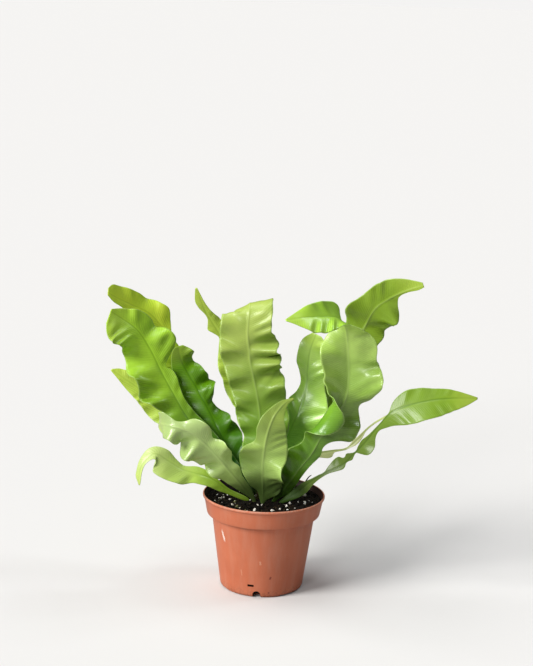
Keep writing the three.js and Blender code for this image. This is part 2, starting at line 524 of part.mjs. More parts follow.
// The rib's curve and the margins of a frond, with the round stalk added below the blade.
function prepared(frond) {
  const points = frond.rib.map((point) => new THREE.Vector3(...point));
  const stalk = [[0, STALK_HALF_WIDTH, 0], [STALK_STATION, STALK_HALF_WIDTH, 0]];
  return {
    ...frond,
    strips: frond.strips ?? FOUR_STRIPS,
    curve: new THREE.CatmullRomCurve3(points, false, 'catmullrom', TENSION),
    tip: points.length - 1,
    left: [...stalk, ...frond.left],
    right: [...stalk, ...frond.right],
  };
}

// A point of the blade's middle surface; across runs from -1, the left margin, to 1, the right one.
function bladePoint(frond, station, across) {
  const t = station / frond.tip;
  const tangent = frond.curve.getTangent(t);
  const face = new THREE.Vector3(...along(frond.faces, station));
  face.addScaledVector(tangent, -face.dot(tangent)).normalize();
  const side = new THREE.Vector3().crossVectors(tangent, face);
  const [width, curl] = along(across < 0 ? frond.left : frond.right, station);
  const turn = THREE.MathUtils.degToRad(Math.abs(curl) < LEAST_CURL ? LEAST_CURL : curl);
  const bend = turn * Math.abs(across);
  const point = frond.curve.getPoint(t);
  point.addScaledVector(side, (Math.sign(across) * width * Math.sin(bend)) / turn);
  return point.addScaledVector(face, (width * (1 - Math.cos(bend))) / turn);
}

// The blade's normal, on the side that `faces` shows.
function bladeNormal(frond, station, across) {
  const ahead = bladePoint(frond, Math.min(station + ALONG_STEP, frond.tip), across);
  const behind = bladePoint(frond, Math.max(station - ALONG_STEP, 0), across);
  const right = bladePoint(frond, station, Math.min(across + ACROSS_STEP, 1));
  const left = bladePoint(frond, station, Math.max(across - ACROSS_STEP, -1));
  return right.sub(left).cross(ahead.sub(behind)).normalize();
}

// How thick the frond is: a thin blade that swells to its rib, and to a round stalk at its foot.
function thickness(frond, station, across) {
  const [width] = along(across < 0 ? frond.left : frond.right, station);
  const fade = THREE.MathUtils.smoothstep(station, STALK_STATION, BLADE_STATION);
  const relief = THREE.MathUtils.lerp(STALK_RELIEF, RIB_RELIEF, fade);
  const reach = (Math.abs(across) * width) / RIB_HALF_WIDTH;
  return BLADE + relief * Math.max(0, 1 - reach * reach);
}

// The frond as one closed skin: two alike faces, a strip along each margin and two end caps.
function frondGeometry(frond) {
  const rows = Math.ceil(frond.curve.getLength() / ROW_SPACING);
  const columns = frond.strips.length;
  const middle = [];
  const positions = [];
  for (const face of [1, -1]) {
    for (let row = 0; row <= rows; row += 1) {
      const station = frond.curve.getUtoTmapping(row / rows) * frond.tip;
      for (const across of frond.strips) {
        const point = bladePoint(frond, station, across);
        if (face > 0) {
          middle.push(point.clone());
        }
        const offset = (face * thickness(frond, station, across)) / 2;
        point.addScaledVector(bladeNormal(frond, station, across), offset);
        positions.push(point.x, point.y, point.z);
      }
    }
  }
  const back = (rows + 1) * columns;
  const indices = [];
  for (let row = 0; row < rows; row += 1) {
    for (let column = 0; column < columns - 1; column += 1) {
      const a = row * columns + column;
      const [b, c, d] = [a + 1, a + columns + 1, a + columns];
      const short = middle[a].distanceTo(middle[c]) < middle[b].distanceTo(middle[d]);
      const halves = short ? [[a, b, c], [a, c, d]] : [[a, b, d], [b, c, d]];
      for (const [i, j, k] of halves) {
        indices.push(i, j, k, back + i, back + k, back + j);
      }
    }
    const left = row * columns;
    const right = left + columns - 1;
    indices.push(left, left + columns, back + left + columns, left, back + left + columns, back + left);
    indices.push(right, back + right, back + right + columns, right, back + right + columns, right + columns);
  }
  const tipRow = rows * columns;
  for (let column = 0; column < columns - 1; column += 1) {
    const tip = tipRow + column;
    indices.push(column, back + column, back + column + 1, column, back + column + 1, column + 1);
    indices.push(tip, tip + 1, back + tip + 1, tip, back + tip + 1, back + tip);
  }
  return closedGeometry(positions, indices);
}

// The plain round hole in the soil that a frond's stalk stands in.
function stalkHole(frond) {
  const root = frond.curve.getPoint(0);
  const below = frond.curve.getTangent(0).multiplyScalar(-HOLE_CLEARANCE);
  const points = [root.add(below)];
  for (const station of HOLE_STATIONS) {
    points.push(frond.curve.getPoint(station / frond.tip));
  }
  const circle = new THREE.Shape();
  for (let side = 0; side < HOLE_SIDES; side += 1) {
    const angle = (side / HOLE_SIDES) * 2 * Math.PI;
    const corner = [HOLE_RADIUS * Math.cos(angle), HOLE_RADIUS * Math.sin(angle)];
    if (side === 0) {
      circle.moveTo(...corner);
    } else {
      circle.lineTo(...corner);
    }
  }
  circle.closePath();
  const path = new THREE.CatmullRomCurve3(points, false, 'catmullrom', TENSION);
  const steps = HOLE_STATIONS.length;
  return new THREE.ExtrudeGeometry(circle, { steps, bevelEnabled: false, extrudePath: path });
}

function soilSolid(fronds) {
  let soil = toSolid(soilGeometry());
  const depth = CROWN_ROOT + GAP;
  const height = depth + CUT_PAST;
  const recess = new THREE.CylinderGeometry(CROWN_RADIUS + GAP, CROWN_RADIUS + GAP, height, CROWN_SIDES);
  recess.rotateX(Math.PI / 2);
  recess.translate(0, 0, SOIL_TOP - depth + height / 2);
  soil = soil.subtract(toSolid(recess));
  for (const frond of fronds) {
    soil = soil.subtract(toSolid(stalkHole(frond)));
  }
  return soil;
}

const fronds = FRONDS.map(prepared);
const fern = new THREE.Group();
fern.name = 'potted_fern';
fern.add(named('pot', toGeometry(potSolid()), POT_PLASTIC));
fern.add(named('soil', toGeometry(soilSolid(fronds)), POTTING_SOIL));
fern.add(named('crown', crownGeometry(), CROWN_SCALES));
for (const frond of fronds) {
  fern.add(named(frond.name, frondGeometry(frond), frond.finish));
}

export default fern;
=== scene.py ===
"""Looks for a potted crinkled bird's-nest fern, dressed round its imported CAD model.

Lengths in the shape tables are in millimetres, in the model's own frame: +Z up, the pot's
base on z = 0 and its front along -Y. Everything that Blender gets is in metres.
"""

import logging
import math
from dataclasses import dataclass, field
from enum import Enum

import bmesh
import bpy
import numpy as np
from mathutils import Matrix, Vector


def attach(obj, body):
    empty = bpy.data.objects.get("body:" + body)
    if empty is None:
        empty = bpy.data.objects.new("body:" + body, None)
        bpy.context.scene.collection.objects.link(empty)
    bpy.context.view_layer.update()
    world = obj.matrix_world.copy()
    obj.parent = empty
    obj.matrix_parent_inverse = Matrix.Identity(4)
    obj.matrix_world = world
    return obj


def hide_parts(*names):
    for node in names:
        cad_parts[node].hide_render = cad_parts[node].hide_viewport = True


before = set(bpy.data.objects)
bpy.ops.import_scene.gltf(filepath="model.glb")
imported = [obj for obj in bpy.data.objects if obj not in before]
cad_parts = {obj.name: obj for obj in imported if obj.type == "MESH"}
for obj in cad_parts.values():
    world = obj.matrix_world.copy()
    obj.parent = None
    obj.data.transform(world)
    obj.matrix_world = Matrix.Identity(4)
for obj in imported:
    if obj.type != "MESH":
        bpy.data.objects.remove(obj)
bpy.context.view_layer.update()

LOG = logging.getLogger("potted_fern")
MM = 0.001
TURN = 2 * math.pi
BODY = "root"

Row = tuple[float, ...]
Rows = tuple[Row, ...]
Point = tuple[float, float, float]
Span = tuple[float, float]
Socket = bpy.types.NodeSocket
Mesh = bpy.types.Mesh
Material = bpy.types.Material
NodeTree = bpy.types.NodeTree


class Side(Enum):
    """The side of a frond that its `faces` rows look out of."""

    UPPER = 1
    UNDER = 0


class Slot(Enum):
    """The record's material slots."""

    POT = "pot_plastic"
    SOIL = "potting_soil"
    CROWN = "crown_scales"
    PALE = "leaf_pale"
    FRESH = "leaf_fresh"
    DEEP = "leaf_deep"


def linear(code: str) -> tuple[float, float, float, float]:
    """Turn a six-digit colour code into Blender's linear colour.

    Args:
        code: the colour as rrggbb.

    Returns:
        Red, green, blue and alpha.
    """
    parts = [int(code[i:i + 2], 16) / 255 for i in (0, 2, 4)]
    low = [p / 12.92 if p <= 0.04045 else ((p + 0.055) / 1.055) ** 2.4 for p in parts]
    return (*low, 1.0)


# ---------------------------------------------------------------- node trees


class Wiring:
    """Adds nodes to one tree and joins them in the same call."""

    def __init__(self, tree: NodeTree) -> None:
        """Keep the tree that the nodes go into."""
        self.tree = tree

    def join(self, socket: Socket, value: object) -> None:
        """Link a socket to another, or give it a plain value.

        Args:
            socket: the input.
            value: the output that it is linked to, or its value.
        """
        if isinstance(value, Socket):
            self.tree.links.new(value, socket)
        else:
            socket.default_value = value

    def node(self, kind: str, inputs: dict | None = None, **settings: object) -> bpy.types.Node:
        """Add a node.

        Args:
            kind: the node's type.
            inputs: values or sockets, by input name or number.
            settings: the node's own properties.

        Returns:
            The new node.
        """
        made = self.tree.nodes.new(kind)
        for name, value in settings.items():
            setattr(made, name, value)
        for key, value in (inputs or {}).items():
            self.join(made.inputs[key], value)
        return made

    def math(self, operation: str, *values: object) -> Socket:
        """Add a Math node and return its result."""
        return self.node("ShaderNodeMath", dict(enumerate(values)), operation=operation).outputs[0]

    def times(self, first: object, second: object) -> Socket:
        """Multiply two numbers."""
        return self.math("MULTIPLY", first, second)

    def plus(self, first: object, second: object) -> Socket:
        """Add two numbers."""
        return self.math("ADD", first, second)

    def vector(self, operation: str, *values: object, output: str = "Vector") -> Socket:
        """Add a Vector Math node of one or two vectors and return a result."""
        inputs = dict(enumerate(values))
        return self.node("ShaderNodeVectorMath", inputs, operation=operation).outputs[output]

    def scaled(self, vector: object, factor: object) -> Socket:
        """Multiply a vector by a number."""
        inputs = {"Vector": vector, "Scale": factor}
        return self.node("ShaderNodeVectorMath", inputs, operation="SCALE").outputs["Vector"]

    def ramp(self, value: object, low: float, high: float,
             start: float = 0.0, end: float = 1.0) -> Socket:
        """Map a value smoothly from low..high to start..end, clamped."""
        inputs = {"Value": value, "From Min": low, "From Max": high, "To Min": start, "To Max": end}
        return self.node("ShaderNodeMapRange", inputs, interpolation_type="SMOOTHSTEP").outputs[0]

    def mix(self, factor: object, first: object, second: object, blend: str = "MIX") -> Socket:
        """Mix two colours."""
        inputs = {0: factor, 6: first, 7: second}
        return self.node("ShaderNodeMix", inputs, data_type="RGBA", blend_type=blend).outputs[2]

    def tint(self, mask: object, strength: float, colour: object, code: str) -> Socket:
        """Lay a colour over another one where a mask is, as strongly as given."""
        return self.mix(self.times(mask, strength), colour, linear(code))

    def filtered(self, colour: object, code: str) -> Socket:
        """Multiply a colour by a fixed one."""
        return self.mix(1.0, colour, linear(code), "MULTIPLY")

    def blend(self, factor: object, first: object, second: object) -> Socket:
        """Mix two numbers."""
        return self.node("ShaderNodeMix", {0: factor, 2: first, 3: second}).outputs[0]

    def noise(self, place: object, scale: float, detail: float = 2.0,
              rough: float = 0.5) -> Socket:
        """Add a 3-D noise and return its value, which runs about 0.5."""
        inputs = {"Vector": place, "Scale": scale, "Detail": detail, "Roughness": rough}
        return self.node("ShaderNodeTexNoise", inputs).outputs["Fac"]

    def random_vector(self, low: Point, high: Point, seed: object) -> Socket:
        """Draw a vector between two corners for each element."""
        inputs = {0: low, 1: high, "Seed": seed}
        return self.node("FunctionNodeRandomValue", inputs, data_type="FLOAT_VECTOR").outputs[0]

    def column(self, x: object, y: object, z: object) -> Socket:
        """Combine three numbers into a vector."""
        return self.node("ShaderNodeCombineXYZ", {0: x, 1: y, 2: z}).outputs[0]

    def height(self, place: object) -> Socket:
        """Read a place's z."""
        return self.node("ShaderNodeSeparateXYZ", {0: place}).outputs[2]

    def place(self) -> Socket:
        """Read the shaded point's place in metres, in the model's own frame."""
        return self.node("ShaderNodeTexCoord").outputs["Object"]

    def attribute(self, name: str) -> Socket:
        """Read a value that a material's mesh carries."""
        return self.node("ShaderNodeAttribute", attribute_name=name).outputs["Fac"]

    def bump(self, relief: object, strength: float, depth: float) -> Socket:
        """Turn a relief, at most `depth` millimetres deep, into a normal."""
        inputs = {"Height": relief, "Strength": strength, "Distance": depth * MM}
        return self.node("ShaderNodeBump", inputs).outputs[0]


Labels = dict[str, tuple[str, ...]]
Started = tuple[Wiring, bpy.types.NodeOutputs, bpy.types.NodeInputs]


def start_group(name: str, kind: str, inputs: Labels, outputs: Labels) -> Started:
    """Make a node group with named sockets.

    Args:
        name: the group's name.
        kind: its tree type.
        inputs: the inputs' names, by the kind of socket.
        outputs: the outputs' names, by the kind of socket.

    Returns:
        The wiring, the sockets that the group is given and those that it has to fill.
    """
    tree = bpy.data.node_groups.new(name, kind)
    for in_out, sockets in (("INPUT", inputs), ("OUTPUT", outputs)):
        for socket, labels in sockets.items():
            for label in labels:
                tree.interface.new_socket(label, in_out=in_out, socket_type=f"NodeSocket{socket}")
    wiring = Wiring(tree)
    return wiring, wiring.node("NodeGroupInput").outputs, wiring.node("NodeGroupOutput").inputs


def start_geometry(name: str, numbers: tuple[str, ...],
                   counts: tuple[str, ...] = ()) -> Started:
    """Make a geometry node tree that takes and gives a geometry and takes a Material.

    Args:
        name: the tree's name.
        numbers: the names of the inputs that are numbers.
        counts: the names of the inputs that are whole numbers.

    Returns:
        The wiring, the sockets that the tree is given and those that it has to fill.
    """
    inputs = {"Geometry": ("Geometry",), "Float": numbers, "Int": counts,
              "Material": ("Material",)}
    return start_group(name, "GeometryNodeTree", inputs, {"Geometry": ("Geometry",)})


def end_geometry(started: Started, geometry: Socket) -> NodeTree:
    """End a tree from start_geometry by realizing and dressing its geometry.

    Args:
        started: what start_geometry gave.
        geometry: the tree's last geometry.

    Returns:
        The finished tree.
    """
    wiring, given, made = started
    real = wiring.node("GeometryNodeRealizeInstances", {"Geometry": geometry})
    dressed = wiring.node("GeometryNodeSetMaterial", {
        "Geometry": real.outputs[0], "Material": given["Material"]})
    wiring.join(made["Geometry"], dressed.outputs[0])
    return wiring.tree


def start_material(name: str) -> tuple[Material, Wiring, Socket]:
    """Make an empty node material.

    Args:
        name: the material's name.

    Returns:
        The material, its wiring and the socket for its surface.
    """
    material = bpy.data.materials.new(name)
    material.use_nodes = True
    material.node_tree.nodes.clear()
    wiring = Wiring(material.node_tree)
    return material, wiring, wiring.node("ShaderNodeOutputMaterial").inputs["Surface"]


# ---------------------------------------------------------------- meshes


def new_object(name: str, data: bpy.types.ID) -> bpy.types.Object:
    """Put something in the scene as an object at the origin.

    Args:
        name: the object's name.
        data: its mesh, light or camera.

    Returns:
        The object.
    """
    made = bpy.data.objects.new(name, data)
    bpy.context.scene.collection.objects.link(made)
    return made


def listed_mesh(name: str, points: list[Point], faces: list[list[int]]) -> Mesh:
    """Make a mesh.

    Args:
        name: the mesh's name.
        points: its points, in metres.
        faces: the numbers of each face's points.

    Returns:
        The mesh.
    """
    mesh = bpy.data.meshes.new(name)
    mesh.from_pydata(points, [], faces)
    return mesh


def ring(radius: float, level: float, sides: int) -> list[Point]:
    """Place points round the pot's axis, anticlockwise from the front, in metres."""
    turns = np.arange(sides) / sides * TURN
    return [(radius * math.sin(t) * MM, -radius * math.cos(t) * MM, level * MM) for t in turns]


def ringed_mesh(name: str, rings: list[list[Point]]) -> Mesh:
    """Skin equal rings of points into one closed smooth mesh.

    Args:
        name: the mesh's name.
        rings: the rings, each anticlockwise as seen from the next one.

    Returns:
        The mesh, capped at its first and its last ring.
    """
    sides, total = len(rings[0]), len(rings) * len(rings[0])
    faces = [list(range(sides))[::-1], list(range(total - sides, total))]
    for low in range(0, total - sides, sides):
        for side in range(sides):
            after = (side + 1) % sides
            faces.append([low + side, low + after, low + sides + after, low + sides + side])
    mesh = listed_mesh(name, [point for points in rings for point in points], faces)
    mesh.shade_smooth()
    return mesh


def give_attribute(mesh: Mesh, name: str, values: object, kind: str = "FLOAT") -> None:
    """Store a named value on each point of a mesh.

    Args:
        mesh: the mesh.
        name: the attribute's name.
        values: a number for each point, or a vector.
        kind: FLOAT for numbers or FLOAT_VECTOR for vectors.
    """
    stored = mesh.attributes.new(name, kind, "POINT")
    entry = "value" if kind == "FLOAT" else "vector"
    stored.data.foreach_set(entry, np.asarray(values, np.float32).reshape(-1))


def bake_modifiers(piece: bpy.types.Object) -> None:
    """Turn a piece with modifiers into a plain mesh.

    Args:
        piece: the object whose mesh is replaced.
    """
    bpy.context.view_layer.update()
    depsgraph = bpy.context.evaluated_depsgraph_get()
    evaluated = piece.evaluated_get(depsgraph)
    mesh = bpy.data.meshes.new_from_object(
        evaluated, preserve_all_data_layers=True, depsgraph=depsgraph)
    piece.modifiers.clear()
    piece.data = mesh


def run_nodes(piece: bpy.types.Object, tree: NodeTree, values: dict) -> None:
    """Run a geometry node tree on a piece and keep the plain mesh.

    Args:
        piece: the object that the tree starts from.
        tree: the geometry node tree.
        values: the tree's inputs, by name.
    """
    modifier = piece.modifiers.new(tree.name, "NODES")
    modifier.node_group = tree
    sockets = {s.name: s.identifier for s in tree.interface.items_tree if s.in_out == "INPUT"}
    for label, value in values.items():
        modifier[sockets[label]] = value
    piece.update_tag()
    bake_modifiers(piece)


def finish_piece(piece: bpy.types.Object, slot: Slot, *nodes: str) -> None:
    """Hand over a finished piece, which rides on the fern's body.

    Args:
        piece: the piece.
        slot: its material slot.
        nodes: the CAD nodes that it replaces.
    """
    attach(piece, BODY)
    if nodes:
        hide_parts(*nodes)
    LOG.info("%s: %d faces, slot %s", piece.name, len(piece.data.polygons), slot.value)


# ---------------------------------------------------------------- curves


def spline(points: Rows, stations: np.ndarray) -> np.ndarray:
    """Read a uniform Catmull-Rom curve.

    Args:
        points: the points at stations 0, 1, 2 and so on.
        stations: where to read it.

    Returns:
        One point for each station.
    """
    given = np.asarray(points, float)
    last = len(given) - 1
    padded = np.vstack([2 * given[0] - given[1], given, 2 * given[-1] - given[-2]])
    place = np.clip(stations, 0, last)
    i = np.minimum(place.astype(int), last - 1)
    f = (place - i)[:, None]
    a, b, c, d = (padded[i + k] for k in range(4))
    return 0.5 * (2 * b + (c - a) * f + (2 * a - 5 * b + 4 * c - d) * f ** 2
                  + (3 * b - a - 3 * c + d) * f ** 3)


def along(rows: Rows, stations: np.ndarray) -> np.ndarray:
    """Read listed rows [station, value, ...] that smooth curves join.

    Args:
        rows: the rows, in order of station.
        stations: where to read them.

    Returns:
        The values at each station.
    """
    table = np.asarray(rows, float)
    x, y = table[:, 0], table[:, 1:]
    order = np.arange(len(x))
    before, after = np.maximum(order - 1, 0), np.minimum(order + 1, len(x) - 1)
    slope = (y[after] - y[before]) / (x[after] - x[before])[:, None]
    place = np.clip(stations, x[0], x[-1])
    i = np.clip(np.searchsorted(x, place, side="right") - 1, 0, len(x) - 2)
    span = (x[i + 1] - x[i])[:, None]
    f = (place - x[i])[:, None] / span
    return ((2 * f ** 3 - 3 * f ** 2 + 1) * y[i] + (f ** 3 - 2 * f ** 2 + f) * span * slope[i]
            + (3 * f ** 2 - 2 * f ** 3) * y[i + 1] + (f ** 3 - f ** 2) * span * slope[i + 1])


def unit(vectors: np.ndarray) -> np.ndarray:
    """Scale vectors to length one."""
    return vectors / np.linalg.norm(vectors, axis=-1, keepdims=True)


def smoothstep(low: float, high: float, values: np.ndarray) -> np.ndarray:
    """Rise smoothly from 0 at low to 1 at high."""
    f = np.clip((values - low) / (high - low), 0, 1)
    return f * f * (3 - 2 * f)


# ---------------------------------------------------------------- leaf finishes


@dataclass(frozen=True)
class LeafPattern:
    """The veins, rib, rim and mottling of every frond.

    A span gives the values between which a mask rises. `wander`, `clear_of_rib` and `stalk`
    are in millimetres, and `drawn` and `mottle` are values of a noise.
    """

    wander: float = 1.6
    vein_sharpness: float = 4.0
    faintest_vein: float = 0.3
    clear_of_rib: Span = (1.0, 3.0)
    drawn: Span = (0.36, 0.62)
    rib: Span = (1.0, 0.35)
    rim: Span = (0.94, 1.0)
    # Darkening near the soil: the stalk's dark green and painted shade among the stalks.
    stalk: Span = (46.0, 18.0)
    # From foot to tip; the darker foot colours are partly painted shade.
    lengthwise: Span = (0.15, 0.9)
    # The tips turn paler, partly as painted glow of light through them.
    tip: Span = (0.86, 0.97)
    mottle: Span = (0.3, 0.7)
    grain: float = 0.25

    def tree(self) -> NodeTree:
        """Build the shader group.

        It reads the attributes that each frond's mesh carries: `offset` and `length` in
        millimetres from the rib and from the soil, `across`, which is 1 at the margins, and
        `lengthwise`, which runs from 0 at the foot to 1 at the tip.

        Returns:
            The group, with masks for the veins, the rib, the rim, the stalk with painted shade
            near the soil, foot to tip, the pale tip with painted glow and the mottling, and the
            relief Bump.
        """
        wiring, given, made = start_group(
            "Leaf pattern", "ShaderNodeTree",
            {"Float": ("Vein Spacing", "Vein Slant", "Rib Width")},
            {"Float": ("Veins", "Rib", "Rim", "Stalk And Shade", "Foot To Tip", "Tip And Glow", "Mottle", "Bump")})
        place = wiring.place()
        length, lengthwise = wiring.attribute("length"), wiring.attribute("lengthwise")
        beside = wiring.math("ABSOLUTE", wiring.attribute("offset"))
        line = wiring.math("SUBTRACT", length, wiring.times(beside, given["Vein Slant"]))
        line = wiring.plus(line, wiring.times(wiring.noise(place, 140, detail=1), self.wander))
        turns = wiring.times(wiring.math("DIVIDE", line, given["Vein Spacing"]), TURN)
        wave = wiring.math("MULTIPLY_ADD", wiring.math("COSINE", turns), 0.5, 0.5)
        patchy = wiring.ramp(wiring.noise(place, 48), *self.drawn, self.faintest_vein, 1.0)
        drawn = wiring.times(wiring.ramp(beside, *self.clear_of_rib), patchy)
        coarse, fine = wiring.noise(place, 34, detail=3, rough=0.6), wiring.noise(place, 900)
        for label, socket in {
            "Veins": wiring.times(wiring.math("POWER", wave, self.vein_sharpness), drawn),
            "Rib": wiring.ramp(wiring.math("DIVIDE", beside, given["Rib Width"]), *self.rib),
            "Rim": wiring.ramp(wiring.math("ABSOLUTE", wiring.attribute("across")), *self.rim),
            # Darkest near the soil: the stalk's dark green and painted shade among the stalks.
            "Stalk And Shade": wiring.ramp(length, *self.stalk),
            # Foot to tip: darker towards the foot, partly painted shade on the lower frond.
            "Foot To Tip": wiring.ramp(lengthwise, *self.lengthwise),
            # Paler tips, partly painted glow of light through them.
            "Tip And Glow": wiring.ramp(lengthwise, *self.tip),
            "Mottle": wiring.ramp(coarse, *self.mottle),
            "Bump": wiring.math("MULTIPLY_ADD", fine, self.grain, wiring.times(wave, drawn)),
        }.items():
            wiring.join(made[label], socket)
        return wiring.tree


class Shade:
    """The colours that all leaves share, most of them multiplied into a leaf's own."""

    BELOW = "b4c98c"
    ABOVE = "e4fca4"
    VEIN_ABOVE = "b8cf8c"
    VEIN_BELOW = "cbd8b0"
    RIB_ABOVE = "b4c888"
    RIB_BELOW = "c4d690"
    # Pale yellow at the tips, partly painted glow of light through them.
    TIP_AND_GLOW = "dcf060"
    RIM = "bcdc7c"
    # Dark green near the soil: the stalk's own colour and painted shade among the stalks.
    STALK_AND_SHADE = "28440f"
    THROUGH = "f8ff94"


LEAF_DRAWING = {"Vein Spacing": 2.0, "Vein Slant": 0.55, "Rib Width": 1.1}
LEAF_SHEEN = {"IOR": 1.5, "Specular IOR Level": 0.2, "Coat Roughness": 0.27, "Coat IOR": 1.6}


@dataclass(frozen=True)
class LeafFinish:
    """A living leaf, by the colours of the side that its `faces` rows look out of.

    `tip` and `foot` are the colours at the two ends of the frond; a darker foot is partly
    painted shade on the frond's lower part. The other side follows from them: an underside
    is paler and duller, an upper side deeper and glossier.
    `thin` says how much light comes through the leaf, `ribbed` and `veined` how strongly
    the rib and the veins are drawn, `gloss` how much wax covers it and `shaded` how dark
    the stalk, with painted shade among the stalks, is near the soil.
    """

    name: str
    slot: Slot
    side: Side
    tip: str
    foot: str
    thin: float = 0.2
    ribbed: float = 0.6
    veined: float = 0.35
    gloss: float = 0.4
    shaded: float = 0.85
    rough: float = 0.38

    def colour(self, wiring: Wiring, marks: bpy.types.NodeOutputs) -> Socket:
        """Lay the leaf's colours over each other.

        Args:
            wiring: the material's wiring.
            marks: the masks of the leaf pattern.

        Returns:
            The leaf's colour.
        """
        # Darker towards the foot, partly painted shade on the frond's lower part.
        seen = wiring.mix(marks["Foot To Tip"], linear(self.foot), linear(self.tip))
        seen = wiring.tint(marks["Mottle"], 0.3, seen, self.foot)
        if self.side is Side.UPPER:
            top, below = seen, wiring.mix(0.45, seen, linear(Shade.BELOW))
        else:
            top, below = wiring.filtered(seen, Shade.ABOVE), seen
        drawn = wiring.times(marks["Veins"], self.veined)
        ribbed = wiring.times(marks["Rib"], self.ribbed)
        top = wiring.mix(drawn, top, wiring.filtered(top, Shade.VEIN_ABOVE))
        top = wiring.mix(ribbed, top, wiring.filtered(top, Shade.RIB_ABOVE))
        below = wiring.mix(drawn, below, wiring.filtered(below, Shade.VEIN_BELOW))
        below = wiring.tint(marks["Rib"], 0.15, below, Shade.RIB_BELOW)
        colour = wiring.mix(wiring.attribute("upper"), below, top)
        # The tips take a pale yellow that is partly painted glow of light through them.
        for mask, strength, code in (("Tip And Glow", 0.3, Shade.TIP_AND_GLOW), ("Rim", 0.5, Shade.RIM),
                                     # Near the soil: the stalk's dark green and painted shade among
                                     # the stalks.
                                     ("Stalk And Shade", self.shaded, Shade.STALK_AND_SHADE)):
            colour = wiring.tint(marks[mask], strength, colour, code)
        return colour

    def material(self, pattern: NodeTree) -> Material:
        """Build the material round the shared leaf pattern.

        Args:
            pattern: the group that LeafPattern makes.

        Returns:
            The leaf's material.
        """
        material, wiring, surface = start_material(self.name)
        marks = wiring.node("ShaderNodeGroup", LEAF_DRAWING, node_tree=pattern).outputs
        colour = self.colour(wiring, marks)
        normal = wiring.bump(marks["Bump"], strength=0.5, depth=0.25)
        skin = wiring.node("ShaderNodeBsdfPrincipled", {
            "Base Color": colour, "Normal": normal, "Coat Weight": self.gloss, **LEAF_SHEEN,
            "Roughness": wiring.math("MULTIPLY_ADD", marks["Mottle"], 0.1, self.rough)})
        lit = wiring.node("ShaderNodeBsdfTranslucent", {
            "Color": wiring.filtered(colour, Shade.THROUGH), "Normal": normal})
        both = wiring.node("ShaderNodeMixShader", {
            0: self.thin, 1: skin.outputs[0], 2: lit.outputs[0]})
        wiring.join(surface, both.outputs[0])
        return material


class Leaf(Enum):
    """The leaf finishes that the fronds are dressed in."""

    BRIGHT = LeafFinish("leaf_bright", Slot.FRESH, Side.UPPER, "c0f044", "205804", 0.15, 0.6, 0.5)
    # Brighter than the spring leaf, partly painted light on the back frond that the tall one
    # shades.
    YOUNG_LIT = LeafFinish("leaf_young_lit", Slot.FRESH, Side.UPPER, "f0ff54", "bcec40", 0.35, 0.3, 0.5)
    SPRING = LeafFinish("leaf_spring", Slot.FRESH, Side.UPPER, "cce45c", "789c28", 0.1, 0.3, 0.5)
    LIME = LeafFinish("leaf_lime", Slot.FRESH, Side.UPPER, "cede92", "b6dc40", 0.15, 0.3, 0.25,
                      shaded=0.45)
    DEEP = LeafFinish("leaf_deep_green", Slot.DEEP, Side.UPPER, "6ca010", "387000", 0.15, 0.6,
                      0.5)
    GLOSSY = LeafFinish("leaf_glossy", Slot.DEEP, Side.UPPER, "d0f674", "92d444", 0.1, 0.4, 0.3,
                        gloss=1.0)
    PALE = LeafFinish("leaf_pale_under", Slot.PALE, Side.UNDER, "c2d66a", "76a42e")
    SILVERY = LeafFinish("leaf_silvery_under", Slot.PALE, Side.UNDER, "b6d082", "c4e47c", 0.15,
                         0.6, 0.2, gloss=0.9)
    OLIVE = LeafFinish("leaf_olive_under", Slot.PALE, Side.UNDER, "a6be56", "badc78")
    HOODED = LeafFinish("leaf_hooded_under", Slot.PALE, Side.UNDER, "d8f880", "5a8c10", 0.1, 0.3,
                        0.5, gloss=0.7)
    MOSSY = LeafFinish("leaf_mossy_under", Slot.PALE, Side.UNDER, "96b836", "709420", 0.15, 0.5,
                       0.6)
    LONG = LeafFinish("leaf_long_upper", Slot.FRESH, Side.UPPER, "84a82c", "526824", 0.15, 0.6,
                      0.5, gloss=0.35)
    STRAW = LeafFinish("leaf_straw_upper", Slot.FRESH, Side.UPPER, "c2c690", "b6be7e")


# ---------------------------------------------------------------- fronds


@dataclass(frozen=True)
class FrondShape:
    """One frond's rows, as in the model's own source.

    The rib's point 0 is the root, 10 mm under the soil, point 1 is where the frond leaves
    the soil and the last is its tip. `faces` rows are a station and the direction that the
    side towards the front looks in. `left` and `right` rows are a station, the width of
    that half of the blade and its curl in degrees. `crinkle` is the height and the length
    of the blade's small waves.
    """

    name: str
    leaf: Leaf
    side: Side
    crinkle: Span
    rib: Rows
    faces: Rows
    left: Rows
    right: Rows


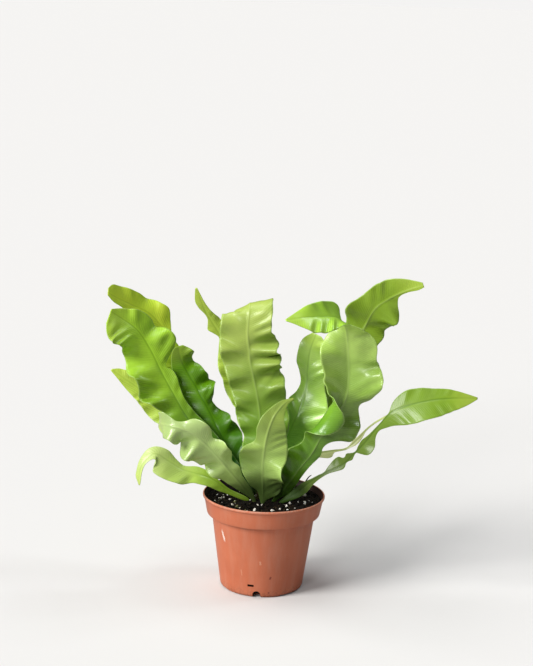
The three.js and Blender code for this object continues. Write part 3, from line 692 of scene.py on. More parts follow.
FROND_SHAPES: tuple[FrondShape, ...] = (
    FrondShape(
        "frond_front", Leaf.OLIVE, Side.UNDER, (0.6, 17),
        rib=((-1, -16, 80), (-1, -17, 90), (-1, -22, 105), (-2, -30, 128), (-1, -35, 150),
         (2, -37, 169), (8, -35, 185), (17, -30, 196), (26, -26, 200)),
        faces=((0, 0, -1, -0.2), (4, 0, -1, -0.3), (8, 0.1, -1, 0.2)),
        left=((1.3, 3, 0), (2, 6, 10), (2.3, 12, 25), (2.7, 17, 35), (2.95, 20, 25),
         (3.3, 23, -15), (3.8, 24, 15), (4.05, 23, 25), (4.25, 13, -35), (4.6, 10, -10),
         (5.1, 12, 15), (5.6, 11, 5), (6.1, 8, 0), (6.7, 5, 0), (7.4, 2, 0), (8, 1, 0)),
        right=((1.4, 6, 0), (1.7, 14, 0), (2, 19, -20), (2.4, 19, 0), (2.85, 26, 75),
         (3.35, 22, 55), (3.65, 23, 0), (4, 23, -8), (4.8, 21, -30), (5.5, 16, -15),
         (6.1, 10, 10), (6.8, 5, 0), (7.5, 2, 0), (8, 1, 0)),
    ),
    FrondShape(
        "frond_front_left", Leaf.SILVERY, Side.UNDER, (0.6, 22),
        rib=((-8, -12, 80), (-9, -13, 90), (-19, -21, 105), (-32, -33, 124), (-45, -44, 143),
         (-60, -52, 161), (-74, -56, 172), (-89, -54, 176), (-99, -44, 175), (-104, -33, 171)),
        faces=((0, -0.2, -1, -0.2), (4, -0.2, -1, -0.1), (8, -0.5, -1, 0.1),
         (9, -0.9, -0.4, 0.2)),
        left=((1.4, 2, 0), (2.3, 8, 0), (2.9, 12, 10), (3.4, 18, 25), (3.65, 23, -45),
         (4.1, 20, -5), (4.6, 22, 20), (5.05, 26, 45), (5.4, 27, -45), (6.3, 21, -55),
         (6.9, 15, 40), (8, 13, 10), (8.6, 9, -20), (9, 2, 0)),
        right=((1.3, 3, 0), (2, 6, -15), (2.6, 7, -35), (3.15, 11, -20), (3.55, 9, -35),
         (4.1, 17, 25), (4.5, 20, 35), (4.8, 10, -30), (5.2, 15, 0), (5.6, 21, 35),
         (5.95, 17, 20), (6.3, 9, -45), (6.9, 6, -50), (7.4, 9, -10), (7.8, 13, 20),
         (8.5, 10, 10), (9, 2, 0)),
    ),
    FrondShape(
        "frond_low_left", Leaf.LIME, Side.UPPER, (0.5, 17),
        rib=((-14, -8, 80), (-16, -9, 90), (-35, -14, 101), (-50, -19, 113), (-65, -24, 120),
         (-81, -26, 125), (-95, -28, 134), (-107, -30, 141), (-118, -32, 133), (-122, -34, 121),
         (-122, -34, 110)),
        faces=((0, 0.2, -0.8, 0.5), (6, 0.1, -0.7, 0.65), (8, -0.5, -0.7, 0.5),
         (10, -0.8, -0.6, 0.1)),
        left=((1.3, 3, 0), (2, 4, 0), (2.7, 8, 5), (3.6, 10, 10), (4.3, 11, -10), (4.9, 17, 15),
         (5.6, 19, 10), (6.1, 19, -5), (6.5, 17, -20), (6.9, 11, -15), (7.3, 5, 0), (8.6, 3, 0),
         (9.4, 3, 0), (10, 1, 0)),
        right=((1.4, 2, 0), (2, 2, 0), (2.8, 3, 5), (3.4, 6, 10), (4.1, 8, -10), (4.9, 5, -15),
         (5.5, 6, 0), (6.2, 9, 15), (6.8, 8, 5), (7.4, 8, 0), (8, 6, 0), (8.7, 5, 0), (9.3, 5, 0),
         (10, 1, 0)),
    ),
    FrondShape(
        "frond_left_tall", Leaf.BRIGHT, Side.UPPER, (0.9, 22),
        rib=((-9, -4, 80), (-11, -3, 90), (-24, 4, 107), (-45, 14, 126), (-64, 24, 145),
         (-81, 33, 163), (-96, 42, 185), (-109, 49, 206), (-120, 54, 226), (-133, 55, 245),
         (-148, 52, 257), (-160, 46, 266)),
        faces=((0, 0.2, -0.95, 0.3), (4, 0.3, -0.85, 0.4), (11, 0.3, -0.8, 0.55)),
        left=((1.4, 3, 0), (2, 4, 0), (3, 7, 10), (3.9, 10, -20), (4.8, 12, 20), (5.2, 18, 15),
         (5.5, 18, -20), (5.9, 29, 25), (6.3, 33, -20), (6.8, 31, 20), (7.2, 34, 25),
         (7.6, 32, -20), (8.3, 27, -30), (9.1, 28, 20), (9.8, 31, 25), (10.4, 31, 20),
         (10.8, 24, 5), (11, 14, 0)),
        right=((1.4, 4, 0), (2, 8, 0), (3, 12, 10), (4, 12, 0), (4.6, 11, 10), (5.2, 9, 20),
         (5.7, 8, 25), (6.1, 10, 25), (6.5, 12, 30), (6.8, 11, 30), (7.02, 7, 10), (7.25, 11, 0),
         (7.55, 20, 10), (7.9, 29, 25), (8.3, 28, 40), (8.6, 22, -30), (9, 21, -10),
         (9.5, 18, 20), (10.1, 12, 10), (10.6, 7, 0), (11, 3, 0)),
    ),
    FrondShape(
        "frond_left_inner", Leaf.DEEP, Side.UPPER, (0.7, 17),
        rib=((-4, 8, 80), (-6, 9, 90), (-14, 13, 102), (-27, 23, 117), (-40, 33, 135),
         (-51, 42, 152), (-64, 50, 174), (-77, 56, 195), (-88, 58, 213), (-92, 56, 230)),
        faces=((0, 0.2, -0.95, 0.2), (4, 0.2, -0.92, 0.33), (9, 0.15, -0.93, 0.3)),
        left=((1.3, 3, 0), (1.8, 4, 0), (2.7, 10, 10), (3.7, 14, -15), (4.5, 18, 0),
         (5.2, 20, -25), (6.1, 20, -30), (6.8, 16, -35), (7.5, 14, -30), (8.2, 10, -10),
         (8.7, 7, 0), (9, 3, 0)),
        right=((1.5, 2, 0), (2.4, 4, 0), (3.2, 9, 10), (3.8, 17, 30), (4.4, 22, -30),
         (4.9, 17, 30), (5.2, 18, -5), (5.55, 14, -50), (5.9, 9.5, -40), (6.15, 14, 35),
         (6.4, 20, 48), (6.7, 19, -48), (7, 17, 30), (7.3, 16, 25), (7.6, 14, -40), (8, 13, -25),
         (8.6, 15, 25), (9, 5, 0)),
    ),
    FrondShape(
        "frond_left_low_back", Leaf.SPRING, Side.UPPER, (0.7, 15),
        rib=((-10, 3, 80), (-12, 5, 90), (-29, 20, 103), (-52, 36, 121), (-78, 50, 142),
         (-105, 62, 163), (-133, 68, 182), (-161, 70, 200)),
        faces=((0, 0.2, -0.95, 0.2), (7, 0.3, -0.9, 0.3)),
        left=((1.3, 3, 0), (2.2, 8, 10), (3.1, 11, -15), (3.9, 14, 15), (4.4, 14, -10),
         (4.8, 17, 10), (5.2, 17, -10), (5.8, 12, 15), (6.3, 8, -10), (6.7, 4, 5), (7, 1, 0)),
        right=((1.3, 3, 0), (2, 4, 0), (3, 7, 10), (4.1, 10, -20), (5, 11, 20), (5.9, 14, -15),
         (6.4, 10, 15), (6.8, 6, 0), (7, 1, 0)),
    ),
    FrondShape(
        "frond_left_back", Leaf.YOUNG_LIT, Side.UPPER, (0.6, 19),
        rib=((-8, 13, 80), (-9, 15, 90), (-21, 32, 115), (-45, 52, 144), (-69, 68, 178),
         (-89, 78, 211), (-106, 84, 238), (-123, 84, 257), (-139, 78, 266), (-154, 68, 275),
         (-164, 58, 283)),
        faces=((0, 0.2, -0.95, 0.2), (5, 0.3, -0.9, 0.3), (10, 0.2, -0.75, 0.6)),
        left=((1.3, 4, 0), (2.3, 12, -15), (3.1, 13, 10), (3.9, 14, -20), (4.8, 20, 20),
         (5.8, 21, -20), (6.5, 20, 15), (7.3, 17, -10), (8.1, 11, 10), (8.8, 7, 0), (9.5, 6, 0),
         (10, 3, 0)),
        right=((1.3, 4, 0), (2.3, 4, 15), (3, 5, -20), (3.8, 6, 20), (4.5, 6, -20), (5.2, 5, 15),
         (5.8, 4, -10), (6.2, 11, -10), (6.6, 18, 25), (7, 16, 25), (7.4, 14, -20), (7.9, 15, 10),
         (8.5, 15, 15), (9.1, 14, 0), (9.7, 11, 0), (10, 5, 0)),
    ),
    FrondShape(
        "frond_back_thin", Leaf.SPRING, Side.UPPER, (0.8, 15),
        rib=((0, 9, 80), (0, 10, 90), (-4, 28, 121), (-12, 46, 152), (-25, 60, 185),
         (-38, 68, 217), (-52, 71, 243), (-65, 68, 264), (-75, 60, 290)),
        faces=((0, 0.1, -1, 0.2), (4, 0.1, -1, 0.3), (8, -0.3, -0.9, 0.3)),
        left=((1.3, 4, 0), (2.2, 9, 10), (2.9, 12, -10), (3.5, 13, 15), (3.8, 15, 5),
         (4.15, 17, -15), (4.5, 16, 10), (4.8, 17, 20), (5.2, 12, -10), (5.55, 6, -20),
         (5.8, 2, -5), (6.05, 5, 15), (6.3, 8, 10), (6.5, 5, 0), (6.7, 2, -10), (6.95, 2, 0),
         (7.25, 5, 0), (7.5, 6, 0), (7.75, 4, 0), (8, 1, 0)),
        right=((1.4, 4, 0), (2.1, 8, 10), (2.9, 9, -10), (3.8, 10, 15), (4.8, 10, -15),
         (5.6, 9, 10), (6.4, 9, -10), (6.9, 6, 10), (7.4, 3, -10), (7.7, 2, 0), (8, 1, 0)),
    ),
    FrondShape(
        "frond_centre_tall", Leaf.PALE, Side.UNDER, (0.9, 19),
        rib=((1, -9, 80), (1, -9, 90), (0, -6, 121), (-4, 0, 150), (-7, 4, 179), (-12, 6, 204),
         (-17, 6, 225), (-19, 6, 240), (-21, 6, 257), (-20, 9, 276), (-20, 18, 283),
         (-19, 29, 282), (-18, 38, 278)),
        faces=((0, 0, -1, 0), (8, 0, -1, 0.1), (9, -0.15, -0.9, 0.4), (10, -0.3, -0.3, 1),
         (11, -0.3, 0.2, 1), (12, -0.3, 0.5, 0.9)),
        left=((1.3, 5, 0), (1.8, 13, 10), (2.4, 17, -10), (2.8, 20, 20), (3.15, 18, -25),
         (3.5, 21, 15), (3.9, 24, -20), (4.4, 23, 20), (4.95, 25, -20), (5.5, 25, 20),
         (6.15, 27, -20), (7.1, 29, 20), (7.8, 28, -15), (8.35, 27, 10), (8.8, 27, -5),
         (9.3, 28, -25), (9.7, 27, -35), (10.1, 24, -40), (10.5, 23, -35), (11, 21, -30),
         (11.6, 14, 0), (12, 5, 0)),
        right=((1.3, 4, 0), (1.7, 11, 0), (2.2, 18, 10), (2.9, 25, -15), (3.6, 29, 15),
         (4.2, 28, -20), (4.8, 30, 30), (5.3, 30, -45), (5.8, 30, 37), (6.3, 32, -37),
         (6.9, 30, 45), (7.3, 30, -37), (7.9, 25, 15), (8.7, 24, 20), (9.4, 24, 5), (10.2, 24, 0),
         (11, 20, 0), (11.6, 13, 0), (12, 5, 0)),
    ),
    FrondShape(
        "frond_right_inner", Leaf.GLOSSY, Side.UPPER, (0.9, 20),
        rib=((9, -3, 80), (9, -2, 90), (14, 6, 126), (22, 16, 150), (32, 24, 173), (39, 29, 197),
         (40, 32, 217), (42, 32, 236), (47, 28, 253)),
        faces=((0, -0.1, -1, 0.2), (8, -0.2, -0.95, 0.3)),
        left=((1.3, 4, 0), (1.8, 5, 10), (2.3, 4, -20), (2.8, 4, 15), (3.3, 7, -20),
         (3.7, 11, 15), (4.1, 14, 25), (4.4, 14, -5), (4.8, 9, -15), (5.3, 7, -30), (5.8, 8, -5),
         (6.3, 12, 25), (6.9, 12, 15), (7.4, 11, -10), (8, 4, 0)),
        right=((1.3, 5, 0), (1.7, 14, 5), (2.4, 23, 15), (3.3, 27, -20), (4, 27, 10),
         (4.4, 29, 20), (4.75, 24, 5), (5.1, 19, -15), (5.5, 18, 0), (5.9, 18, 15),
         (6.8, 17, -15), (7.6, 16, 10), (8, 6, 0)),
    ),
    FrondShape(
        "frond_right_hooded", Leaf.HOODED, Side.UNDER, (0.85, 19),
        rib=((8, -9, 80), (10, -10, 90), (21, -15, 106), (33, -22, 127), (46, -28, 147),
         (55, -32, 167), (67, -34, 187), (76, -34, 204), (78, -32, 224), (77, -32, 243),
         (75, -34, 263), (72, -40, 276), (64, -50, 286), (48, -63, 289), (31, -75, 290),
         (15, -84, 289)),
        faces=((0, 0.1, -1, -0.1), (9, 0, -1, -0.1), (10, -0.1, -1, -0.2),
         (11, -0.45, -0.7, -0.55), (12, -0.5, 0.2, -0.8), (13, -0.4, 0.6, -0.65),
         (14, -0.3, 0.7, -0.6), (15, -0.2, 0.7, -0.6)),
        left=((1.4, 3, 0), (1.9, 7, 0), (2.7, 13, 5), (3.3, 18, 15), (3.7, 24, 30), (3.95, 17, 0),
         (4.3, 14, -20), (4.7, 16, 0), (4.95, 20, 50), (5.2, 32, 130), (5.6, 42, 195),
         (6.1, 44, 210), (6.5, 38, 175), (6.8, 33, 130), (7.2, 28, 80), (7.7, 29, 60),
         (8.3, 28, 50), (8.8, 29, 50), (9.4, 30, 45), (9.8, 26, 20), (10.2, 19, -15),
         (10.6, 15, -40), (11.2, 11, -60), (11.7, 13, -65), (12.1, 16, -55), (12.5, 16, -45),
         (13, 15, -35), (13.6, 12, -20), (14.1, 8, 0), (14.6, 4, 0), (15, 1, 0)),
        right=((1.4, 3, 0), (1.9, 7, 0), (2.8, 7, 5), (3.5, 7, 10), (4, 9, -15), (4.4, 7, 10),
         (4.8, 11, 10), (5.1, 20, -10), (5.5, 28, 20), (5.9, 28, 10), (6.4, 25, -30),
         (6.9, 19, -45), (7.3, 26, 30), (7.7, 38, 60), (8.2, 37, 55), (8.6, 30, 25), (9, 30, 45),
         (9.6, 30, 40), (10.05, 26, 15), (10.5, 20, 0), (11, 19, 0), (11.4, 11, 0), (11.8, 11, 0),
         (12.2, 13, 0), (12.8, 17, 0), (13.4, 17, 0), (13.8, 15, 0), (14.2, 10, 0), (14.6, 5, 0),
         (15, 1, 0)),
    ),
    FrondShape(
        "frond_right_back", Leaf.MOSSY, Side.UNDER, (0.7, 20),
        rib=((7, 5, 80), (8, 6, 90), (26, 20, 122), (45, 34, 152), (63, 46, 185), (80, 55, 219),
         (95, 60, 250), (105, 62, 271), (117, 59, 283), (134, 52, 294), (153, 43, 303)),
        faces=((0, 0.1, -1, 0), (8, 0.1, -1, 0.1), (10, 0.2, -0.9, 0.3)),
        left=((1.3, 6, 0), (2.1, 8, -10), (3, 10, 15), (3.9, 12, -20), (4.8, 16, 15),
         (5.6, 17, -15), (6.2, 21, -20), (6.6, 28, 20), (6.8, 26, 15), (7.05, 21, 0),
         (7.4, 19, -10), (8.1, 20, 10), (8.7, 18, 5), (9.2, 13, 0), (9.6, 8, 0), (9.85, 5, 0),
         (10, 3, 0)),
        right=((1.4, 5, 0), (2.1, 8, 10), (3.2, 12, -20), (4.1, 15, 15), (4.9, 19, -15),
         (5.8, 20, 20), (6.1, 22, 20), (6.4, 22, -30), (6.9, 25, 10), (7.5, 26, 25),
         (7.9, 26, 20), (8.2, 19, -15), (8.45, 9, -20), (8.7, 3, -10), (9.2, 2, 0), (9.7, 3, 0),
         (10, 2, 0)),
    ),
    FrondShape(
        "frond_right_long", Leaf.LONG, Side.UPPER, (0.35, 18),
        rib=((15, -13, 80), (17, -14, 90), (32, -22, 103), (44, -30, 117), (57, -37, 128),
         (74, -43, 139), (85, -47, 152), (96, -51, 166), (107, -55, 183), (119, -59, 198),
         (137, -62, 207), (159, -64, 213), (180, -64, 215), (199, -62, 215)),
        faces=((0, 0, -0.8, 0.5), (9, 0, -0.75, 0.65), (13, 0.1, -0.75, 0.65)),
        left=((1.4, 3, 0), (2.1, 5, 0), (2.6, 4, 0), (3.2, 2, 0), (3.7, 1.5, 0), (4.1, 1.5, 0),
         (4.35, 5, 0), (4.7, 9, 0), (5.1, 9, 0), (5.35, 5, 0), (5.5, 4.5, 0), (5.7, 5.5, 0),
         (5.9, 3, 0), (6.1, 1, 0), (6.3, 1, 0), (6.5, 2.5, 0), (6.9, 4, 0), (7.4, 2, 0),
         (8, 0.8, 0), (8.6, 0.8, 0), (8.9, 2, 0), (9.2, 8, 5), (9.5, 12, 10), (9.9, 15, 10),
         (10.4, 15, 0), (11, 12, -5), (11.6, 10, 0), (12.4, 5, 0), (13, 1, 0)),
        right=((1.4, 3, 0), (2, 5, 0), (2.6, 6, 0), (3.2, 4, 0), (3.8, 2.5, 0), (4.3, 2, 0),
         (4.7, 3, 0), (5, 4, 0), (5.15, 3, 0), (5.3, 1, 0), (5.5, 1.5, 0), (5.7, 3, 0),
         (5.9, 2, 0), (6.05, 1, 0), (6.2, 1.2, 0), (6.35, 5, 10), (6.7, 12, 20), (7.1, 11, 10),
         (7.5, 5, 0), (7.9, 4, 0), (8.3, 8, 0), (8.9, 14, -10), (9.7, 19, -5), (10.4, 20, 5),
         (11.1, 18, 0), (11.8, 13, 0), (12.4, 8, 0), (13, 1, 0)),
    ),
    FrondShape(
        "frond_right_back_thin", Leaf.STRAW, Side.UPPER, (0.2, 10),
        rib=((13, 2, 80), (14, 2, 90), (26, 6, 115), (38, 10, 124), (51, 12, 133), (66, 13, 137),
         (81, 13, 140), (92, 12, 150), (100, 10, 161), (109, 7, 170), (120, 3, 178)),
        faces=((0, 0, -0.8, 0.5), (10, 0, -0.75, 0.65)),
        left=((1.4, 1.5, 0), (4.3, 1.5, 0), (5.2, 1, 0), (6.2, 1.2, 0), (6.7, 2.5, 0),
         (7.3, 2, 0), (7.9, 1, 0), (10, 1, 0)),
        right=((1.4, 2, 0), (2.5, 3, 0), (3.9, 3, 0), (4.3, 5, 0), (4.7, 7, 10), (5, 6, 0),
         (5.2, 2, 0), (6.2, 1.2, 0), (6.7, 3, 0), (7.3, 2.5, 0), (7.9, 1, 0), (10, 1, 0)),
    ),
)

# The attributes that only the skin's nodes read, so a finished frond goes without them.
SKIN_VALUES = ("lift", "half", "free", "fresh", "under", "facing")


@dataclass
class FrondSkin:
    """The geometry nodes that crinkle every frond's blade and give it its thickness.

    Heights, lengths and widths are in millimetres. `halves_apart` and `pleats_apart` keep
    the waves of the blade's two halves, and its ruffles and pleats, out of step. `ruffled`
    and `pleated` are the parts of the way to the margin over which those waves grow. The
    rib is a groove on the upper side, `groove` times as deep as it stands out below.
    """

    pleat_height: float = 0.08
    pleat_length: float = 4.2
    rib_height: float = 0.55
    rib_width: float = 1.1
    slant: float = 0.55
    halves_apart: float = 13.7
    pleats_apart: float = 41.0
    unevenness: float = 1.5
    unevenness_scale: float = 0.6
    ruffled: Span = (0.0, 0.75)
    pleated: Span = (0.05, 0.5)
    groove: float = 0.45
    seed_step: float = 7.3
    tree: NodeTree = field(init=False)

    def __post_init__(self) -> None:
        """Build the tree once."""
        self.tree = self.build_tree()

    def build_tree(self) -> NodeTree:
        """Build the tree.

        It reads each point's `offset` and `length` from the rib and the soil in millimetres,
        `across`, `facing` (the blade's normal), `lift` (1 on the side that faces the front,
        -1 on the other), `half` (half the thickness), `free` (how freely the blade waves),
        `fresh` (how much of the rib stands out) and `under` (1 on the underside).

        Returns:
            The geometry node tree, with a named input for each size.
        """
        started = start_geometry("Crinkled blade", (
            "Ruffle Height", "Ruffle Length", "Pleat Height", "Pleat Length", "Rib Height",
            "Rib Width", "Slant", "Seed"))
        wiring, given, _ = started

        def read(name: str, kind: str = "FLOAT") -> Socket:
            """Read a named attribute of the blade."""
            return wiring.node("GeometryNodeInputNamedAttribute", {"Name": name},
                               data_type=kind).outputs["Attribute"]

        def wave(kind: str, shift: float, where: Span) -> Socket:
            """Make uneven waves along the slanted veins, higher towards the margin.

            Args:
                kind: Ruffle or Pleat.
                shift: how far these waves are out of step with the others.
                where: the part of the way to the margin over which they grow.

            Returns:
                The waves' height in millimetres.
            """
            place = wiring.plus(
                wiring.plus(wiring.math("DIVIDE", line, given[f"{kind} Length"]), half_of_blade),
                wiring.plus(given["Seed"], shift))
            uneven = wiring.node("ShaderNodeTexNoise", {
                "W": place, "Scale": self.unevenness_scale, "Detail": 0.0},
                noise_dimensions="1D").outputs[0]
            late = wiring.math("MULTIPLY_ADD", uneven, self.unevenness, place)
            height = wiring.times(wiring.ramp(edge, *where), given[f"{kind} Height"])
            return wiring.times(wiring.math("SINE", wiring.times(late, TURN)), height)

        offset = read("offset")
        beside, edge = wiring.math("ABSOLUTE", offset), wiring.math("ABSOLUTE", read("across"))
        half_of_blade = wiring.times(wiring.math("SIGN", offset), self.halves_apart)
        line = wiring.math("SUBTRACT", read("length"), wiring.times(beside, given["Slant"]))
        waves = wiring.plus(wave("Ruffle", 0.0, self.ruffled),
                            wave("Pleat", self.pleats_apart, self.pleated))
        from_rib = wiring.math("DIVIDE", beside, given["Rib Width"])
        ridge = wiring.math("EXPONENT", wiring.times(wiring.times(from_rib, from_rib), -1.0))
        side = wiring.math("MULTIPLY_ADD", read("under"), 1 + self.groove, -self.groove)
        rib = wiring.times(wiring.times(ridge, side),
                           wiring.times(read("fresh"), given["Rib Height"]))
        skin = wiring.times(wiring.plus(read("half"), rib), read("lift"))
        reach = wiring.times(wiring.plus(wiring.times(waves, read("free")), skin), MM)
        moved = wiring.node("GeometryNodeSetPosition", {
            "Geometry": given["Geometry"],
            "Offset": wiring.scaled(read("facing", "FLOAT_VECTOR"), reach)})
        smooth = wiring.node("GeometryNodeSetShadeSmooth", {"Geometry": moved.outputs[0]})
        return end_geometry(started, smooth.outputs[0])

    def apply(self, piece: bpy.types.Object, crinkle: Span, material: Material,
              seed: int) -> None:
        """Crinkle and thicken a frond.

        Args:
            piece: the frond's flat double sheet.
            crinkle: the height and the length of its ruffles in millimetres.
            material: its leaf material.
            seed: a number of its own for each frond.
        """
        run_nodes(piece, self.tree, {
            "Ruffle Height": crinkle[0], "Ruffle Length": crinkle[1],
            "Pleat Height": self.pleat_height, "Pleat Length": self.pleat_length,
            "Rib Height": self.rib_height, "Rib Width": self.rib_width,
            "Slant": self.slant, "Seed": seed * self.seed_step, "Material": material,
        })


@dataclass
class Frond:
    """One strap frond: a sheet on its rib, then crinkled into a leaf.

    Widths, depths and lengths are in millimetres, stations count along the rib, and folds
    are in degrees. The stalk turns into the blade between `stalk_end` and `blade_start`. A
    blade waves freely once it is as wide as `wavy` says. Over its last `tip_reach` the rib
    sinks to `rib_at_tip` of its height.
    """

    shape: FrondShape
    seed: int
    stalk_half_width: float = 1.8
    stalk_half_depth: float = 1.3
    stalk_roundness: float = 0.97
    stalk_end: float = 1.0
    blade_start: float = 2.5
    blade_half: float = 0.34
    margin_thinning: float = 0.35
    row_spacing: float = 1.3
    rib_steps: int = 1500
    half_columns: int = 19
    close_to_rib: float = 0.55
    least_curl: float = 1e-3
    fold_share: float = 0.75
    fold_least: float = 50.0
    fold_most: float = 100.0
    rib_at_tip: float = 0.25
    tip_reach: float = 30.0
    wavy: Span = (3.0, 15.0)
    station_step: float = 1e-3

    def stations(self) -> tuple[np.ndarray, np.ndarray]:
        """Space rows evenly along the rib, which leaves the soil where its stalk ends.

        Returns:
            The rows' stations and their distance from the soil in millimetres.
        """
        fine = np.linspace(0, len(self.shape.rib) - 1, self.rib_steps)
        steps = np.linalg.norm(np.diff(spline(self.shape.rib, fine), axis=0), axis=1)
        length = np.concatenate([[0], np.cumsum(steps)])
        rows = np.linspace(0, length[-1], math.ceil(length[-1] / self.row_spacing) + 1)
        soil = np.interp(self.stalk_end, fine, length)
        return np.interp(rows, length, fine), rows - soil

    def columns(self) -> np.ndarray:
        """Space columns across the blade, closest together at the rib.

        Returns:
            Where each column lies, from -1 to 1.
        """
        steps = np.arange(self.half_columns + 1) / self.half_columns
        steps = steps * (self.close_to_rib + (1 - self.close_to_rib) * steps)
        return np.concatenate([-steps[:0:-1], steps])

    def curled(self, across: np.ndarray, width: np.ndarray,
               curl: np.ndarray) -> tuple[np.ndarray, np.ndarray]:
        """Bend the halves of the blade.

        A gentle curl is mostly a straight fold at the rib, and a strong one is an arc.

        Args:
            across: where each column lies, from -1 to 1.
            width: the half blade's width at each point.
            curl: how far that half curls, in radians.

        Returns:
            How far each point lies beside the rib and how far in front of it.
        """
        curl = np.where(abs(curl) < self.least_curl, self.least_curl, curl)
        bend = curl * abs(across)
        most, least = math.radians(self.fold_most), math.radians(self.fold_least)
        straight = self.fold_share * smoothstep(most, least, abs(curl))
        reach, lifted = abs(across) * np.sin(curl), abs(across) * (1 - np.cos(curl))
        out = np.sign(across) * width * (straight * reach + (1 - straight) * np.sin(bend)) / curl
        up = width * (straight * lifted + (1 - straight) * (1 - np.cos(bend))) / curl
        return out, up

    def sheet(self) -> dict[str, np.ndarray]:
        """Lay out the blade's middle surface.

        Returns:
            The surface's points and normals, and the values that the skin and the leaf
            material read, all as rows by columns.
        """
        shape = self.shape
        stations, length = self.stations()
        step = self.station_step
        tangent = unit(spline(shape.rib, stations + step) - spline(shape.rib, stations - step))
        facing = along(shape.faces, stations)
        facing = unit(facing - (facing * tangent).sum(1, keepdims=True) * tangent)
        beside = np.cross(tangent, facing)
        across = self.columns()
        stalk = ((0, self.stalk_half_width, 0), (self.stalk_end, self.stalk_half_width, 0))
        left, right = (along(stalk + rows, stations) for rows in (shape.left, shape.right))
        pair = np.where(across[None, :, None] < 0, left[:, None, :], right[:, None, :])
        width = pair[..., 0]
        out, up = self.curled(across, width, np.radians(pair[..., 1]))
        points = (spline(shape.rib, stations)[:, None] + out[..., None] * beside[:, None]
                  + up[..., None] * facing[:, None])
        normals = unit(np.cross(np.gradient(points, axis=1), np.gradient(points, axis=0)))
        across = np.broadcast_to(across, width.shape)
        blade = smoothstep(self.stalk_end, self.blade_start, stations)[:, None]
        round_stalk = self.stalk_half_depth * np.sqrt(1 - (self.stalk_roundness * across) ** 2)
        flat_blade = self.blade_half * (1 - self.margin_thinning * across ** 4)
        from_tip = smoothstep(0, self.tip_reach, length[-1] - length)[:, None]
        return {
            "points": points * MM,
            "facing": normals,
            "offset": across * width,
            "length": np.broadcast_to(length[:, None], width.shape),
            "across": across,
            "half": round_stalk * (1 - blade) + flat_blade * blade,
            "free": smoothstep(*self.wavy, width) * blade,
            "fresh": blade * (self.rib_at_tip + (1 - self.rib_at_tip) * from_tip),
            "lengthwise": np.clip(length / length[-1], 0, 1)[:, None],
        }

    def mesh(self) -> Mesh:
        """Join two copies of the sheet into one closed skin, still without thickness.

        Returns:
            The mesh, with the named values on its points.
        """
        grid = self.sheet()
        rows, columns = grid["offset"].shape
        back = rows * columns
        index = np.arange(back).reshape(rows, columns)
        a, b, c, d = index[:-1, :-1], index[:-1, 1:], index[1:, 1:], index[1:, :-1]
        front = np.stack([a, b, c, d], -1).reshape(-1, 4)
        faces = [front, front[:, ::-1] + back]
        for edge in (index[:, 0], index[-1, :], index[::-1, -1], index[0, ::-1]):
            faces.append(np.stack([edge[:-1], edge[1:], edge[1:] + back, edge[:-1] + back], -1))
        points = np.tile(grid["points"].reshape(-1, 3), (2, 1))
        mesh = listed_mesh(self.shape.name, points.tolist(), np.concatenate(faces).tolist())
        lift = np.repeat([1.0, -1.0], back)
        upper = (lift > 0) == (self.shape.side is Side.UPPER)
        for name, values in {"lift": lift, "upper": upper, "under": ~upper}.items():
            give_attribute(mesh, name, values)
        for name in ("offset", "length", "across", "half", "free", "fresh", "lengthwise"):
            values = np.broadcast_to(grid[name], (rows, columns)).reshape(-1)
            give_attribute(mesh, name, np.tile(values, 2))
        facing = np.tile(grid["facing"].reshape(-1, 3), (2, 1))
        give_attribute(mesh, "facing", facing, "FLOAT_VECTOR")
        return mesh

    def build(self, skin: FrondSkin, materials: dict[Leaf, Material]) -> None:
        """Make the frond's piece and put it in place of its CAD node.

        Args:
            skin: the geometry nodes for blades.
            materials: the leaf materials.
        """
        piece = new_object(self.shape.name.replace("frond", "leaf"), self.mesh())
        skin.apply(piece, self.shape.crinkle, materials[self.shape.leaf], self.seed)
        for name in SKIN_VALUES:
            piece.data.attributes.remove(piece.data.attributes[name])
        finish_piece(piece, self.shape.leaf.value.slot, self.shape.name)


# ---------------------------------------------------------------- pot


SCUFF_ENDS = (0.5, 0.15)
SCUFF_SIDES = (0.7, 0.2)
SCUFF_RAGGEDNESS = 1.2


def scuff_group() -> NodeTree:
    """Build the shader group of one straight scuff on a surface.

    Returns:
        A group with the scuff's Centre, Direction, Length and Width in metres, and a Mask.
    """
    wiring, given, made = start_group(
        "Scuff", "ShaderNodeTree",
        {"Vector": ("Centre", "Direction"), "Float": ("Length", "Width")}, {"Float": ("Mask",)})
    place = wiring.place()
    from_centre = wiring.vector("SUBTRACT", place, given["Centre"])
    reach = wiring.vector("DOT_PRODUCT", from_centre, given["Direction"], output="Value")
    aside = wiring.vector("SUBTRACT", from_centre, wiring.scaled(given["Direction"], reach))
    distance = wiring.vector("LENGTH", aside, output="Value")
    end = wiring.math("DIVIDE", wiring.math("ABSOLUTE", reach), given["Length"])
    edge = wiring.math("DIVIDE", distance, given["Width"])
    ragged = wiring.math("MULTIPLY_ADD", wiring.noise(place, 700, detail=3),
                         SCUFF_RAGGEDNESS, -SCUFF_RAGGEDNESS / 2)
    inside = wiring.times(wiring.ramp(end, *SCUFF_ENDS),
                          wiring.ramp(wiring.plus(edge, ragged), *SCUFF_SIDES))
    wiring.join(made["Mask"], inside)
    return wiring.tree


@dataclass(frozen=True)
class Scuff:
    """A mark rubbed or knocked into the pot's wall."""

    start: Point
    end: Point
    width: float
    colour: str
    strength: float

    def mask(self, wiring: Wiring, group: NodeTree) -> Socket:
        """Place the scuff in a material.

        Args:
            wiring: the material's wiring.
            group: the group that scuff_group makes.

        Returns:
            The scuff's mask.
        """
        start, end = Vector(self.start) * MM, Vector(self.end) * MM
        mark = wiring.node("ShaderNodeGroup", {
            "Centre": (start + end) / 2, "Direction": (end - start).normalized(),
            "Length": (end - start).length, "Width": self.width * MM}, node_tree=group)
        return mark.outputs["Mask"]


